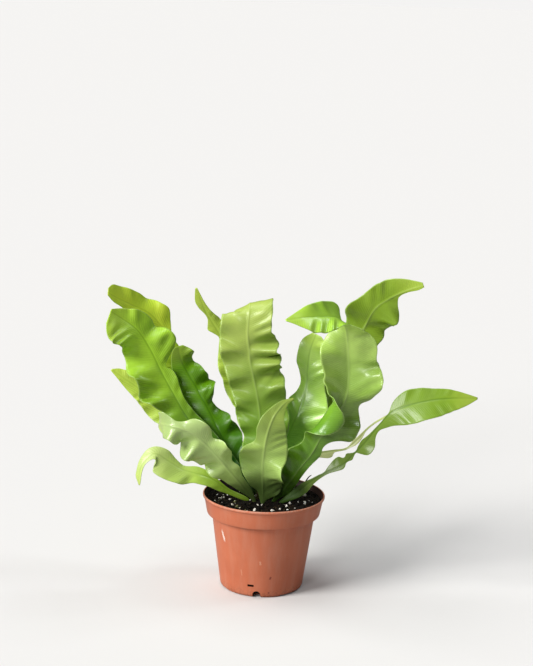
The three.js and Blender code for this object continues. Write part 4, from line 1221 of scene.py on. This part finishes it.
@dataclass(frozen=True)
class PotPlastic:
    """Thin moulded plastic in terracotta colour, with dust, streaks and scuffs.

    The spans are heights in metres between which the lip's pale dusting and painted highlight,
    the foot's dirt and the soil stain and painted shade on the inside begin.
    """

    base: str = "cb714e"
    dark: str = "b15b3d"
    # A pale dusting colour, which also paints the highlight along the top of the lip.
    dust_and_highlight: str = "cfa893"
    dirt: str = "5b3a2a"
    # Laid almost black over the inside wall: soil stain and painted shade inside the pot.
    soil: str = "17100c"
    rough: float = 0.46
    lip_dust_and_highlight: Span = (0.0925, 0.0947)
    dirty: Span = (0.012, 0.0)
    soil_stain_and_shade: Span = (0.1004, 0.0988)
    scuffs: tuple[Scuff, ...] = (
        Scuff((-40.6, -29.9, 67.0), (-36.4, -31.6, 52.5), 2.4, "f4e6dc", 0.95),
        Scuff((-1.6, -46.6, 40.5), (-1.2, -46.0, 35.0), 2.0, "dda488", 0.7),
        Scuff((9.4, -43.3, 23.5), (8.3, -43.0, 19.5), 2.0, "7c2f22", 0.9),
        Scuff((7.8, -41.2, 6.6), (7.4, -41.0, 4.4), 1.5, "6d2a20", 0.85),
        Scuff((-20.5, -40.5, 30.0), (-19.0, -40.2, 21.0), 1.2, "dba083", 0.5),
        Scuff((35.0, 33.0, 62.0), (37.5, 30.0, 50.0), 2.0, "e2b5a0", 0.7),
        Scuff((-30.0, 38.0, 45.0), (-33.5, 33.0, 30.0), 1.6, "e0b09a", 0.6),
    )

    def material(self) -> Material:
        """Build the plastic.

        Returns:
            The pot's material.
        """
        material, wiring, surface = start_material("pot_terracotta_plastic")
        place = wiring.place()
        drawn_down = wiring.node(
            "ShaderNodeMapping", {"Vector": place, "Scale": (1, 1, 0.12)}).outputs[0]
        streaks = wiring.noise(drawn_down, 120, detail=4, rough=0.6)
        cloud = wiring.noise(place, 30, detail=3)
        grains = wiring.noise(place, 420, detail=4, rough=0.65)
        height = wiring.height(place)
        # A pale band round the lip's top: dusting and a painted highlight.
        rim = wiring.times(wiring.ramp(height, *self.lip_dust_and_highlight), wiring.ramp(grains, 0.38, 0.62))
        foot = wiring.times(wiring.ramp(height, *self.dirty), wiring.ramp(grains, 0.45, 0.6))
        # The inside wall goes almost black: partly soil stain, partly painted shade inside the pot.
        stained_and_shaded = wiring.ramp(wiring.math("MULTIPLY_ADD", grains, 0.005, height), *self.soil_stain_and_shade)
        inner = wiring.times(wiring.attribute("inside"), stained_and_shaded)
        colour = linear(self.base)
        for mask, strength, code in (
                (wiring.ramp(cloud, 0.35, 0.7), 0.35, self.dark),
                (wiring.ramp(streaks, 0.35, 0.75), 0.16, self.dust_and_highlight), (rim, 0.55, self.dust_and_highlight),
                (foot, 0.35, self.dirt), (inner, 0.96, self.soil)):
            colour = wiring.tint(mask, strength, colour, code)
        group = scuff_group()
        for scuff in self.scuffs:
            colour = wiring.tint(scuff.mask(wiring, group), scuff.strength, colour, scuff.colour)
        rough = wiring.math("MULTIPLY_ADD", grains, 0.16, self.rough - 0.08)
        relief = wiring.plus(wiring.times(grains, 0.5), wiring.noise(drawn_down, 60))
        skin = wiring.node("ShaderNodeBsdfPrincipled", {
            "Base Color": colour, "Roughness": wiring.math("MULTIPLY_ADD", rim, 0.2, rough),
            "Normal": wiring.bump(relief, strength=0.35, depth=0.15)})
        wiring.join(surface, skin.outputs[0])
        return material


def prism_mesh(outline: list[Point], path: Point) -> Mesh:
    """Sweep a flat outline along a straight path into a closed mesh.

    Args:
        outline: the outline's corners, anticlockwise as seen from the path's end.
        path: how far and which way it is swept.

    Returns:
        The closed mesh, with its faces outwards.
    """
    swept = [tuple(np.add(corner, path)) for corner in outline]
    return ringed_mesh("block", [outline, swept])


@dataclass
class Pot:
    """The thin round nursery pot, turned from one profile and cut for drainage.

    The sizes are in millimetres, and directions are in degrees from the front towards +X.
    A channel runs between its two radii, and `slit` is its direction, its middle's height,
    its width and its own height. The blocks that cut the channels and the arches stand on
    the level `below`, and those of the arches and the slit reach from `cut_start` from the
    axis `cut_length` outwards.
    """

    height: float = 95.0
    wall: float = 1.2
    underside_ring: float = 12.0
    foot_radius: float = 39.0
    low_radius: float = 41.5
    high_radius: float = 51.5
    band_foot: float = 75.5
    band_low_radius: float = 56.6
    band_high_radius: float = 59.4
    lip_foot: float = 92.4
    lip_radius: float = 61.0
    floor: float = 3.1
    sides: int = 128
    channel_depth: float = 1.8
    channel_radii: Span = (15.0, 46.0)
    channel_angle: float = 35.0
    channel_directions: tuple[float, ...] = (-75.0, 45.0, 165.0)
    arch_directions: tuple[float, ...] = (-6.0, 114.0, 234.0)
    arch_width: float = 8.0
    arch_height: float = 7.0
    arch_points: int = 13
    slit: tuple[float, float, float, float] = (-14.0, 12.5, 6.4, 2.4)
    below: float = -5.0
    cut_start: float = 32.0
    cut_length: float = 18.0
    sharp_angle: float = 38.0

    def profile(self) -> list[Span]:
        """List the wall's section from the middle of the underside to the edge of the floor.

        Returns:
            The radius and the level of each ring of the pot.
        """
        foot, low, high, wall = self.foot_radius, self.low_radius, self.high_radius, self.wall
        band, band_low, band_high = self.band_foot, self.band_low_radius, self.band_high_radius
        brim, lip, top = self.lip_foot, self.lip_radius, self.height
        # The small steps from these sizes round off the corners.
        outside = [(self.underside_ring, 0.0), (foot - 0.6, 0.0), (foot + 0.5, 0.25),
                   (foot + 1.6, 1.0), (low - 0.15, 2.2), (low + 0.15, 3.6)]
        outside += self.straight(outside[-1], (high - 0.1, band - 1.0), 10)
        outside += [(high + 0.15, band - 0.35), (high + 0.7, band), (band_low - 1.3, band),
                    (band_low - 0.4, band + 0.3), (band_low, band + 1.2)]
        outside += self.straight(outside[-1], (band_high, brim - 1.2), 4)
        outside += [(band_high + 0.3, brim - 0.6), (lip - 0.6, brim), (lip - 0.1, brim + 0.4),
                    (lip, brim + 0.9), (lip, top - 0.9), (lip - 0.3, top - 0.35),
                    (lip - 1.0, top)]
        inside = [(lip - 1.3, top - 0.1), (lip - 1.5, top - 0.6), (lip - 1.6, brim + 0.6),
                  (band_high - wall, brim - 0.9), (band_low - wall, band + wall),
                  (high - wall, band + wall)]
        inside += self.straight(inside[-1], (low - wall, self.floor + 1.0), 6)
        return outside + inside + [(low - wall - 1.0, self.floor)]

    @staticmethod
    def straight(start: Span, end: Span, steps: int) -> list[Span]:
        """Step from one point, which is left out, to another."""
        return [tuple(np.add(start, np.subtract(end, start) * i / steps))
                for i in range(1, steps + 1)]

    def turned(self) -> Mesh:
        """Turn the profile about the pot's axis into a closed mesh."""
        return ringed_mesh("pot_shell", [ring(r, z, self.sides) for r, z in self.profile()])

    def cutters(self) -> list[Mesh]:
        """Make the blocks that cut the pot.

        Returns:
            The blocks of the channels, the arches and the slit.
        """
        blocks = [self.channel(direction) for direction in self.channel_directions]
        half, below = self.arch_width / 2, self.below
        bow = [(half * math.cos(t), self.arch_height - half + half * math.sin(t))
               for t in np.linspace(0, math.pi, self.arch_points)]
        arch = [(half, below), *bow, (-half, below)]
        blocks += [self.radial_prism(arch, direction) for direction in self.arch_directions]
        direction, level, width, tall = self.slit
        low, high = level - tall / 2, level + tall / 2
        slit = [(width / 2, low), (width / 2, high), (-width / 2, high), (-width / 2, low)]
        return blocks + [self.radial_prism(slit, direction)]

    def channel(self, direction: float, steps: int = 12) -> Mesh:
        """Make the block, a sector of a ring, that cuts one channel from below.

        Args:
            direction: the channel's direction.
            steps: how many flat steps follow its bend.

        Returns:
            The block.
        """
        turns = np.radians(direction + self.channel_angle * (np.arange(steps + 1) / steps - 0.5))
        inner, outer = self.channel_radii
        outline = [(r * math.sin(t) * MM, -r * math.cos(t) * MM, self.below * MM)
                   for r, order in ((outer, turns), (inner, turns[::-1])) for t in order]
        return prism_mesh(outline, (0, 0, (self.channel_depth - self.below) * MM))

    def radial_prism(self, outline: list[Span], direction: float) -> Mesh:
        """Sweep an outline out through the wall.

        Args:
            outline: its corners, measured across and up.
            direction: the sweep's direction.

        Returns:
            The block.
        """
        turn = Matrix.Rotation(math.radians(direction), 3, "Z")
        corners = [tuple(turn @ Vector((x, -self.cut_start, z)) * MM) for x, z in outline]
        return prism_mesh(corners, tuple(turn @ Vector((0, -self.cut_length, 0)) * MM))

    def build(self) -> None:
        """Make the pot's piece and put it in place of its CAD node."""
        piece = new_object("pot_body", self.turned())
        blocks = [new_object("cutter", mesh) for mesh in self.cutters()]
        for block in blocks:
            cut = piece.modifiers.new("cut", "BOOLEAN")
            cut.object, cut.operation, cut.solver = block, "DIFFERENCE", "EXACT"
        bake_modifiers(piece)
        for block in blocks:
            bpy.data.objects.remove(block)
        piece.data.materials.clear()
        piece.data.materials.append(PotPlastic().material())
        self.soften(piece.data)
        self.mark(piece.data)
        finish_piece(piece, Slot.POT, "pot")

    def soften(self, mesh: Mesh) -> None:
        """Smooth the pot except at its cut edges.

        Args:
            mesh: the pot's mesh.
        """
        shape = bmesh.new()
        shape.from_mesh(mesh)
        for face in shape.faces:
            face.smooth = True
            face.material_index = 0
        sharp = math.radians(self.sharp_angle)
        for edge in shape.edges:
            edge.smooth = len(edge.link_faces) == 2 and edge.calc_face_angle() < sharp
        shape.to_mesh(mesh)
        shape.free()

    def mark(self, mesh: Mesh) -> None:
        """Mark the points on the inside of the wall with the attribute `inside`.

        Args:
            mesh: the pot's mesh.
        """
        levels = [0, self.band_foot, self.band_foot + 1.3, self.lip_foot, self.lip_foot + 0.6]
        radii = [self.low_radius, self.high_radius, self.band_low_radius, self.band_high_radius,
                 self.lip_radius - 0.9]
        inside, clear = [], 0.5
        for vertex in mesh.vertices:
            radius = math.hypot(vertex.co.x, vertex.co.y) / MM
            level = vertex.co.z / MM
            wall = np.interp(level, levels, radii)
            inside.append(float(radius < wall - clear and level > self.floor - clear))
        give_attribute(mesh, "inside", inside)


# ---------------------------------------------------------------- soil


SOIL_SHEEN = {"Specular IOR Level": 0.15}
BLACK = (0, 0, 0, 1)
WHITE = (1, 1, 1, 1)


@dataclass(frozen=True)
class SoilFinish:
    """One of the loose materials in the pot, with its own spread of colours.

    `spread` is the scale of the noise that the colours follow. Each colour after the first
    takes over at `first`, then every `step`, over a change of `soft`.
    """

    name: str
    colours: tuple[str, ...]
    rough: float
    spread: float
    bump: float
    first: float = 0.42
    step: float = 0.11
    soft: float = 0.06

    def material(self) -> Material:
        """Build the material.

        Returns:
            The material, mottled at the size that `spread` sets.
        """
        material, wiring, surface = start_material(self.name)
        place = wiring.place()
        value = wiring.noise(place, self.spread)
        colour = linear(self.colours[0])
        for i, code in enumerate(self.colours[1:]):
            low = self.first + self.step * i
            colour = wiring.mix(wiring.ramp(value, low, low + self.soft), colour, linear(code))
        grain = wiring.noise(place, 2200, detail=4, rough=0.7)
        colour = wiring.mix(0.35, colour, wiring.mix(grain, BLACK, WHITE), "OVERLAY")
        skin = wiring.node("ShaderNodeBsdfPrincipled", {
            "Base Color": colour, "Roughness": self.rough, **SOIL_SHEEN,
            "Normal": wiring.bump(grain, self.bump, depth=0.3)})
        wiring.join(surface, skin.outputs[0])
        return material


SHORTEST_GRAIN = (0.7, 0.6, 0.5)
LONGEST_GRAIN = (1.4, 1.0, 0.9)
ANY_TURN = (6.283, 6.283, 6.283)
SMALLNESS = 2.2
STRETCH_SEED = 5
DENT_SCALE = 620.0
DENT_DEPTH = 0.9
MIDDLE = (0.5, 0.5, 0.5)


def grains_tree() -> NodeTree:
    """Build the geometry nodes that scatter uneven grains over a surface.

    Returns:
        The tree, with inputs for the grains' number, sizes, flatness, height and seed.
    """
    started = start_geometry("Loose grains", (
        "Density", "Smallest", "Largest", "Flatness", "Raise"), counts=("Rounds", "Seed"))
    wiring, given, _ = started
    seed = given["Seed"]
    spots = wiring.node("GeometryNodeDistributePointsOnFaces", {
        "Mesh": given["Geometry"], "Density": given["Density"], "Seed": seed})
    grain = wiring.node("GeometryNodeMeshIcoSphere", {
        "Radius": 1.0, "Subdivisions": given["Rounds"]})
    size = wiring.node("FunctionNodeRandomValue", {2: 0.0, 3: 1.0, "Seed": seed}).outputs[1]
    mostly_small = wiring.math("POWER", size, SMALLNESS)
    scale = wiring.blend(mostly_small, given["Smallest"], given["Largest"])
    stretch = wiring.random_vector(SHORTEST_GRAIN, LONGEST_GRAIN,
                                   wiring.plus(seed, STRETCH_SEED))
    flat = wiring.column(1.0, 1.0, given["Flatness"])
    placed = wiring.node("GeometryNodeInstanceOnPoints", {
        "Points": spots.outputs["Points"], "Instance": grain.outputs["Mesh"],
        "Rotation": wiring.random_vector((0, 0, 0), ANY_TURN, seed),
        "Scale": wiring.scaled(wiring.vector("MULTIPLY", stretch, flat), scale)})
    lifted = wiring.node("GeometryNodeTranslateInstances", {
        "Instances": placed.outputs[0], "Local Space": False,
        "Translation": wiring.column(0.0, 0.0, given["Raise"])})
    real = wiring.node("GeometryNodeRealizeInstances", {"Geometry": lifted.outputs[0]})
    where = wiring.node("GeometryNodeInputPosition").outputs[0]
    dent = wiring.node("ShaderNodeTexNoise", {
        "Vector": where, "Scale": DENT_SCALE, "Detail": 1.0})
    from_middle = wiring.vector("SUBTRACT", dent.outputs["Color"], MIDDLE)
    knocked = wiring.node("GeometryNodeSetPosition", {
        "Geometry": real.outputs[0],
        "Offset": wiring.scaled(from_middle, wiring.times(given["Largest"], DENT_DEPTH))})
    return end_geometry(started, knocked.outputs[0])


@dataclass(frozen=True)
class Grains:
    """One kind of grain that lies on the soil.

    `density` is a number to the square metre. Sizes and `lift`, how far the grains' middles
    stand over the soil, are in millimetres, and `rounds` is how finely a grain is faceted.
    """

    name: str
    finish: SoilFinish
    density: float
    smallest: float
    largest: float
    flatness: float
    lift: float
    rounds: int
    seed: int

    def scatter(self, surface: Mesh, tree: NodeTree) -> None:
        """Spread the grains as a piece of their own.

        Args:
            surface: the mesh that they lie on.
            tree: the geometry nodes that grains_tree makes.
        """
        piece = new_object(self.name, surface)
        run_nodes(piece, tree, {
            "Density": self.density, "Smallest": self.smallest * MM,
            "Largest": self.largest * MM, "Flatness": self.flatness, "Raise": self.lift * MM,
            "Rounds": self.rounds, "Seed": self.seed, "Material": self.finish.material(),
        })
        finish_piece(piece, Slot.SOIL)


SOIL_BLACK = SoilFinish("soil_peat", ("0e0b08", "090705", "1a140e", "282014"), 0.82, 260, 0.8)
PERLITE_WHITE = SoilFinish("soil_perlite", ("e6e2d8", "cfc8b8", "f6f4ee"), 0.7, 190, 0.6)
LUMP_OLIVE = SoilFinish("soil_lumps", ("6f6f48", "55573a", "8d8f68"), 0.8, 300, 0.8)
CRUMB_BROWN = SoilFinish("soil_crumbs", ("1d150e", "0e0a07", "302416", "4a4630"), 0.85, 240, 0.8)
SCALE_BROWN = SoilFinish("crown_scales", ("4a3a1c", "33250f", "5f5a2c"), 0.75, 420, 0.6)
STUB_BLACK = SoilFinish("withered_stalk", ("15110d", "2b2116", "0c0a08"), 0.7, 300, 0.6)

GRAINS: tuple[Grains, ...] = (
    Grains("soil_crumbs", CRUMB_BROWN, 300000, 0.35, 1.5, 0.8, 0.1, 1, 3),
    Grains("soil_clods", SOIL_BLACK, 42000, 0.9, 2.6, 0.8, 0.2, 2, 8),
    Grains("soil_perlite", PERLITE_WHITE, 9500, 0.5, 2.4, 0.85, 0.5, 2, 12),
    Grains("soil_lumps", LUMP_OLIVE, 700, 1.6, 3.2, 0.8, 0.6, 2, 4),
)


@dataclass
class Soil:
    """The potting soil: a lumpy plug with crumbs, clods and white perlite on it.

    The sizes are in millimetres. `lumps` rows are the size, the height and the shift of one
    set of lumps, and `fade` less the part of the way to the edge is how much of them is
    left. `wall` rows are the radius and the level of a ring down the plug's side.
    """

    top: float = 90.0
    drop: float = 1.0
    edge: float = 57.3
    rings: int = 46
    sides: int = 150
    fade: float = 1.15
    lumps: Rows = ((13.0, 0.5, 0.3), (7.0, 0.4, 1.7), (3.7, 0.28, 4.1))
    wall: tuple[Span, ...] = ((55.1, 77.2), (49.9, 77.0), (39.9, 3.7))

    def height(self, x: np.ndarray, y: np.ndarray) -> np.ndarray:
        """Find the soil's level.

        Args:
            x: the places' x.
            y: the places' y.

        Returns:
            The level at each place.
        """
        part = np.hypot(x, y) / self.edge
        lumps = np.zeros_like(part)
        for size, deep, shift in self.lumps:
            lumps += deep * np.sin(x / size * 2 + shift) * np.cos(y / size * 2.3 + shift * 2)
        return self.top - self.drop * part ** 2 + lumps * np.clip(self.fade - part, 0, 1)

    def skirt(self, inner: int) -> list[list[int]]:
        """Join a ring of points to the ring after it.

        Args:
            inner: the number of the ring's first point.

        Returns:
            One face for each side.
        """
        faces = []
        for side in range(self.sides):
            after, outer = (side + 1) % self.sides, inner + self.sides
            faces.append([inner + side, outer + side, outer + after, inner + after])
        return faces

    def surface(self) -> tuple[list[Point], list[list[int]]]:
        """Lay out the soil's top.

        Returns:
            The points, the centre first, and the faces.
        """
        turns = np.arange(self.sides) / self.sides * TURN
        radii = np.arange(1, self.rings + 1) / self.rings * self.edge
        x, y = np.outer(radii, np.sin(turns)), -np.outer(radii, np.cos(turns))
        points = [(0.0, 0.0, self.top * MM)]
        points += (np.stack([x, y, self.height(x, y)], -1).reshape(-1, 3) * MM).tolist()
        rows = [self.skirt(1 + row * self.sides) for row in range(self.rings - 1)]
        faces = []
        for side in range(self.sides):
            faces.append([0, 1 + side, 1 + (side + 1) % self.sides])
            faces += [row[side] for row in rows]
        return points, faces

    def plug(self) -> Mesh:
        """Close the top with sides that follow the pot and a flat underside.

        Returns:
            The plug's mesh.
        """
        points, faces = self.surface()
        last = 1 + (self.rings - 1) * self.sides
        for radius, level in self.wall:
            points += ring(radius, level, self.sides)
            faces += self.skirt(last)
            last += self.sides
        points.append((0.0, 0.0, self.wall[-1][1] * MM))
        for side in range(self.sides):
            faces.append([len(points) - 1, last + (side + 1) % self.sides, last + side])
        mesh = listed_mesh("soil_plug", points, faces)
        mesh.shade_smooth()
        return mesh

    def build(self) -> None:
        """Make the soil and its grains, which keep clear of the soil's edge."""
        plug = new_object("soil_bed", self.plug())
        plug.data.materials.append(SOIL_BLACK.material())
        finish_piece(plug, Slot.SOIL, "soil")
        tree = grains_tree()
        points, faces = self.surface()
        inner = self.sides * (self.rings - 2)
        faces = [f for f in faces if max(f) <= inner]
        for grains in GRAINS:
            grains.scatter(listed_mesh(grains.name, points, faces), tree)


# ---------------------------------------------------------------- crown


@dataclass
class Crown:
    """The low crown between the stalks, covered in narrow dry scales.

    The sizes are in millimetres. The dome runs round from `steepest` degrees below its
    widest ring to as much above it. `lean_least` and `lean_most` are the turns in radians
    between which each scale leans.
    """

    radius: float = 4.6
    height: float = 5.4
    depth: float = 3.2
    base: float = 89.4
    steepest: float = 86.0
    scales: int = 90
    scale_length: float = 7.0
    scale_width: float = 1.2
    scale_flatness: float = 0.45
    lean_least: Point = (-0.5, -0.5, 0.0)
    lean_most: Point = (0.5, 0.5, 6.28)
    rings: int = 17
    sides: int = 32
    seed: int = 5

    def dome(self) -> Mesh:
        """Make the dome that the scales grow on, ring by ring from its foot to its top.

        Returns:
            The dome's mesh.
        """
        rings = []
        for slope in np.radians(np.linspace(-self.steepest, self.steepest, self.rings)):
            reach = self.height if slope > 0 else self.depth
            rings.append(ring(self.radius * math.cos(slope),
                              self.base + reach * math.sin(slope), self.sides))
        return ringed_mesh("crown_dome", rings)

    def tree(self) -> NodeTree:
        """Build the geometry nodes that set scales over the dome's upper half.

        Returns:
            The tree, with inputs for the scales' density, size and seed.
        """
        started = start_geometry("Crown scales", (
            "Density", "Scale Length", "Scale Width", "Lowest"), counts=("Seed",))
        wiring, given, _ = started
        dome, width = given["Geometry"], given["Scale Width"]
        level = wiring.height(wiring.node("GeometryNodeInputPosition").outputs[0])
        above = wiring.node("FunctionNodeCompare", {0: level, 1: given["Lowest"]},
                            operation="GREATER_THAN")
        spots = wiring.node("GeometryNodeDistributePointsOnFaces", {
            "Mesh": dome, "Selection": above.outputs[0], "Density": given["Density"],
            "Seed": given["Seed"]})
        scale = wiring.node("GeometryNodeMeshCone", {
            "Vertices": 6, "Side Segments": 3, "Radius Top": 0.03, "Radius Bottom": 0.5,
            "Depth": 1.0})
        sizes = wiring.column(width, wiring.times(width, self.scale_flatness),
                              given["Scale Length"])
        placed = wiring.node("GeometryNodeInstanceOnPoints", {
            "Points": spots.outputs["Points"], "Instance": scale.outputs["Mesh"],
            "Rotation": spots.outputs["Rotation"], "Scale": sizes})
        leaned = wiring.node("GeometryNodeRotateInstances", {
            "Instances": placed.outputs[0],
            "Rotation": wiring.random_vector(self.lean_least, self.lean_most, given["Seed"])})
        both = wiring.node("GeometryNodeJoinGeometry")
        for geometry in (dome, leaned.outputs[0]):
            wiring.join(both.inputs[0], geometry)
        real = wiring.node("GeometryNodeRealizeInstances", {"Geometry": both.outputs[0]})
        smooth = wiring.node("GeometryNodeSetShadeSmooth", {"Geometry": real.outputs[0]})
        return end_geometry(started, smooth.outputs[0])

    def build(self) -> None:
        """Make the crown's piece and put it in place of its CAD node."""
        piece = new_object("crown_tuft", self.dome())
        area = TURN * (self.radius * MM) ** 2
        run_nodes(piece, self.tree(), {
            "Density": self.scales / area, "Scale Length": self.scale_length * MM,
            "Scale Width": self.scale_width * MM, "Lowest": self.base * MM,
            "Seed": self.seed, "Material": SCALE_BROWN.material(),
        })
        finish_piece(piece, Slot.CROWN, "crown")


@dataclass
class DeadStub:
    """The withered black stub of an old stalk, which leans out of the soil at the back."""

    line: tuple[Point, ...] = ((37.0, 22.0, 87.0), (39.5, 26.0, 94.0), (42.8, 29.5, 100.8),
                               (45.7, 31.0, 104.4), (48.2, 31.5, 105.6))
    widths: tuple[float, ...] = (1.2, 1.2, 0.9, 0.7, 0.5)
    broadside: Point = (1.0, -1.0, 0.3)
    flatness: float = 0.6
    sides: int = 7

    def build(self) -> None:
        """Make the stub as a tapering tube and hand it over."""
        points = [Vector(point) for point in self.line]
        turns = [TURN * side / self.sides for side in range(self.sides)]
        rings = []
        for i, (point, width) in enumerate(zip(points, self.widths)):
            ahead = points[min(i + 1, len(points) - 1)] - points[max(i - 1, 0)]
            across = ahead.cross(Vector(self.broadside)).normalized()
            up = ahead.cross(across).normalized()
            rings.append([
                tuple((point + width * (math.cos(t) * across
                                        + self.flatness * math.sin(t) * up)) * MM)
                for t in turns])
        mesh = ringed_mesh("dead_stub", rings)
        mesh.materials.append(STUB_BLACK.material())
        piece = new_object("dead_stub", mesh)
        soften = piece.modifiers.new("soften", "SUBSURF")
        soften.levels = soften.render_levels = 2
        bake_modifiers(piece)
        finish_piece(piece, Slot.CROWN)


# ---------------------------------------------------------------- studio


@dataclass(frozen=True)
class SoftLight:
    """A wide far light, as a large softbox or window gives."""

    name: str
    direction: Point
    spread: float
    power: float
    colour: Point = (1.0, 1.0, 1.0)

    def build(self) -> None:
        """Put the light in the scene."""
        lamp = bpy.data.lights.new(self.name, "SUN")
        lamp.angle = math.radians(self.spread)
        lamp.energy, lamp.color = self.power, self.colour
        made = new_object(self.name, lamp)
        made.location = self.direction
        made.rotation_euler = Vector(self.direction).to_track_quat("Z", "Y").to_euler()


@dataclass
class Studio:
    """The pale floor, the soft light and the camera at the photograph's place.

    Places and sizes are in metres, angles in degrees, and the lens and its sensor in
    millimetres. The camera sees the floor and the room as brighter than the light that
    they give.
    """

    camera_place: Point = (-0.002427, -1.504871, 0.578447)
    pitch: float = 12.0
    roll: float = 1.8
    lens: float = 85.0
    sensor: float = 36.0
    floor_size: float = 300.0
    floor_colour: str = "e2e1e0"
    floor_bounce: str = "aeadac"
    world_colour: str = "f6f5f4"
    world_light: float = 0.08
    horizon_light: float = 0.985
    lights: tuple[SoftLight, ...] = (
        SoftLight("key", (-1.25, -0.75, 0.95), 26.0, 3.3, (1.0, 0.985, 0.96)),
        SoftLight("top", (-0.5, 0.2, 1.4), 40.0, 1.3),
        SoftLight("window", (-0.38, -0.85, 0.34), 12.0, 0.6),
        SoftLight("skylight", (0.64, 0.15, 0.75), 14.0, 0.5, (0.9, 0.96, 1.0)),
    )

    def camera(self) -> None:
        """Set up the camera."""
        pitch, roll = math.radians(self.pitch), math.radians(self.roll)
        forward = Vector((0, math.cos(pitch), -math.sin(pitch)))
        level = Vector((1, 0, 0))
        upright = Vector((0, math.sin(pitch), math.cos(pitch)))
        right = level * math.cos(roll) + upright * math.sin(roll)
        up = upright * math.cos(roll) - level * math.sin(roll)
        lens = bpy.data.cameras.new("photo_camera")
        lens.lens, lens.sensor_fit, lens.sensor_height = self.lens, "VERTICAL", self.sensor
        camera = new_object("photo_camera", lens)
        turn = Matrix((right, up, -forward)).transposed().to_4x4()
        camera.matrix_world = Matrix.Translation(self.camera_place) @ turn
        bpy.context.scene.camera = camera

    def floor(self) -> None:
        """Lay the plain floor."""
        shape = bmesh.new()
        bmesh.ops.create_grid(shape, x_segments=2, y_segments=2, size=self.floor_size)
        mesh = bpy.data.meshes.new("floor")
        shape.to_mesh(mesh)
        shape.free()
        material, wiring, surface = start_material("floor_paint")
        seen = wiring.node("ShaderNodeLightPath").outputs["Is Camera Ray"]
        paint = wiring.node("ShaderNodeBsdfPrincipled", {
            "Base Color": wiring.mix(seen, linear(self.floor_bounce), linear(self.floor_colour)),
            "Roughness": 0.9, "Specular IOR Level": 0.0})
        wiring.join(surface, paint.outputs[0])
        mesh.materials.append(material)
        new_object("floor", mesh)

    def world(self) -> None:
        """Fill the room with even light."""
        world = bpy.data.worlds.new("room")
        world.use_nodes = True
        wiring = Wiring(world.node_tree)
        seen = wiring.node("ShaderNodeLightPath").outputs["Is Camera Ray"]
        background = world.node_tree.nodes["Background"]
        background.inputs["Color"].default_value = linear(self.world_colour)
        strength = wiring.blend(seen, self.world_light, self.horizon_light)
        wiring.join(background.inputs["Strength"], strength)
        bpy.context.scene.world = world

    def build(self) -> None:
        """Set up everything round the fern."""
        self.camera()
        self.floor()
        self.world()
        for light in self.lights:
            light.build()
        bpy.context.scene.view_settings.view_transform = "Standard"


def main() -> None:
    """Build the fern's pieces and the studio, and report each piece."""
    logging.basicConfig(level=logging.INFO, format="%(name)s %(message)s")
    for part in (Studio(), Pot(), Soil(), Crown(), DeadStub()):
        part.build()
    pattern = LeafPattern().tree()
    materials = {leaf: leaf.value.material(pattern) for leaf in Leaf}
    skin = FrondSkin()
    for seed, shape in enumerate(FROND_SHAPES, start=1):
        Frond(shape, seed).build(skin, materials)
    bpy.context.view_layer.update()


if __name__ == "__main__":
    main()
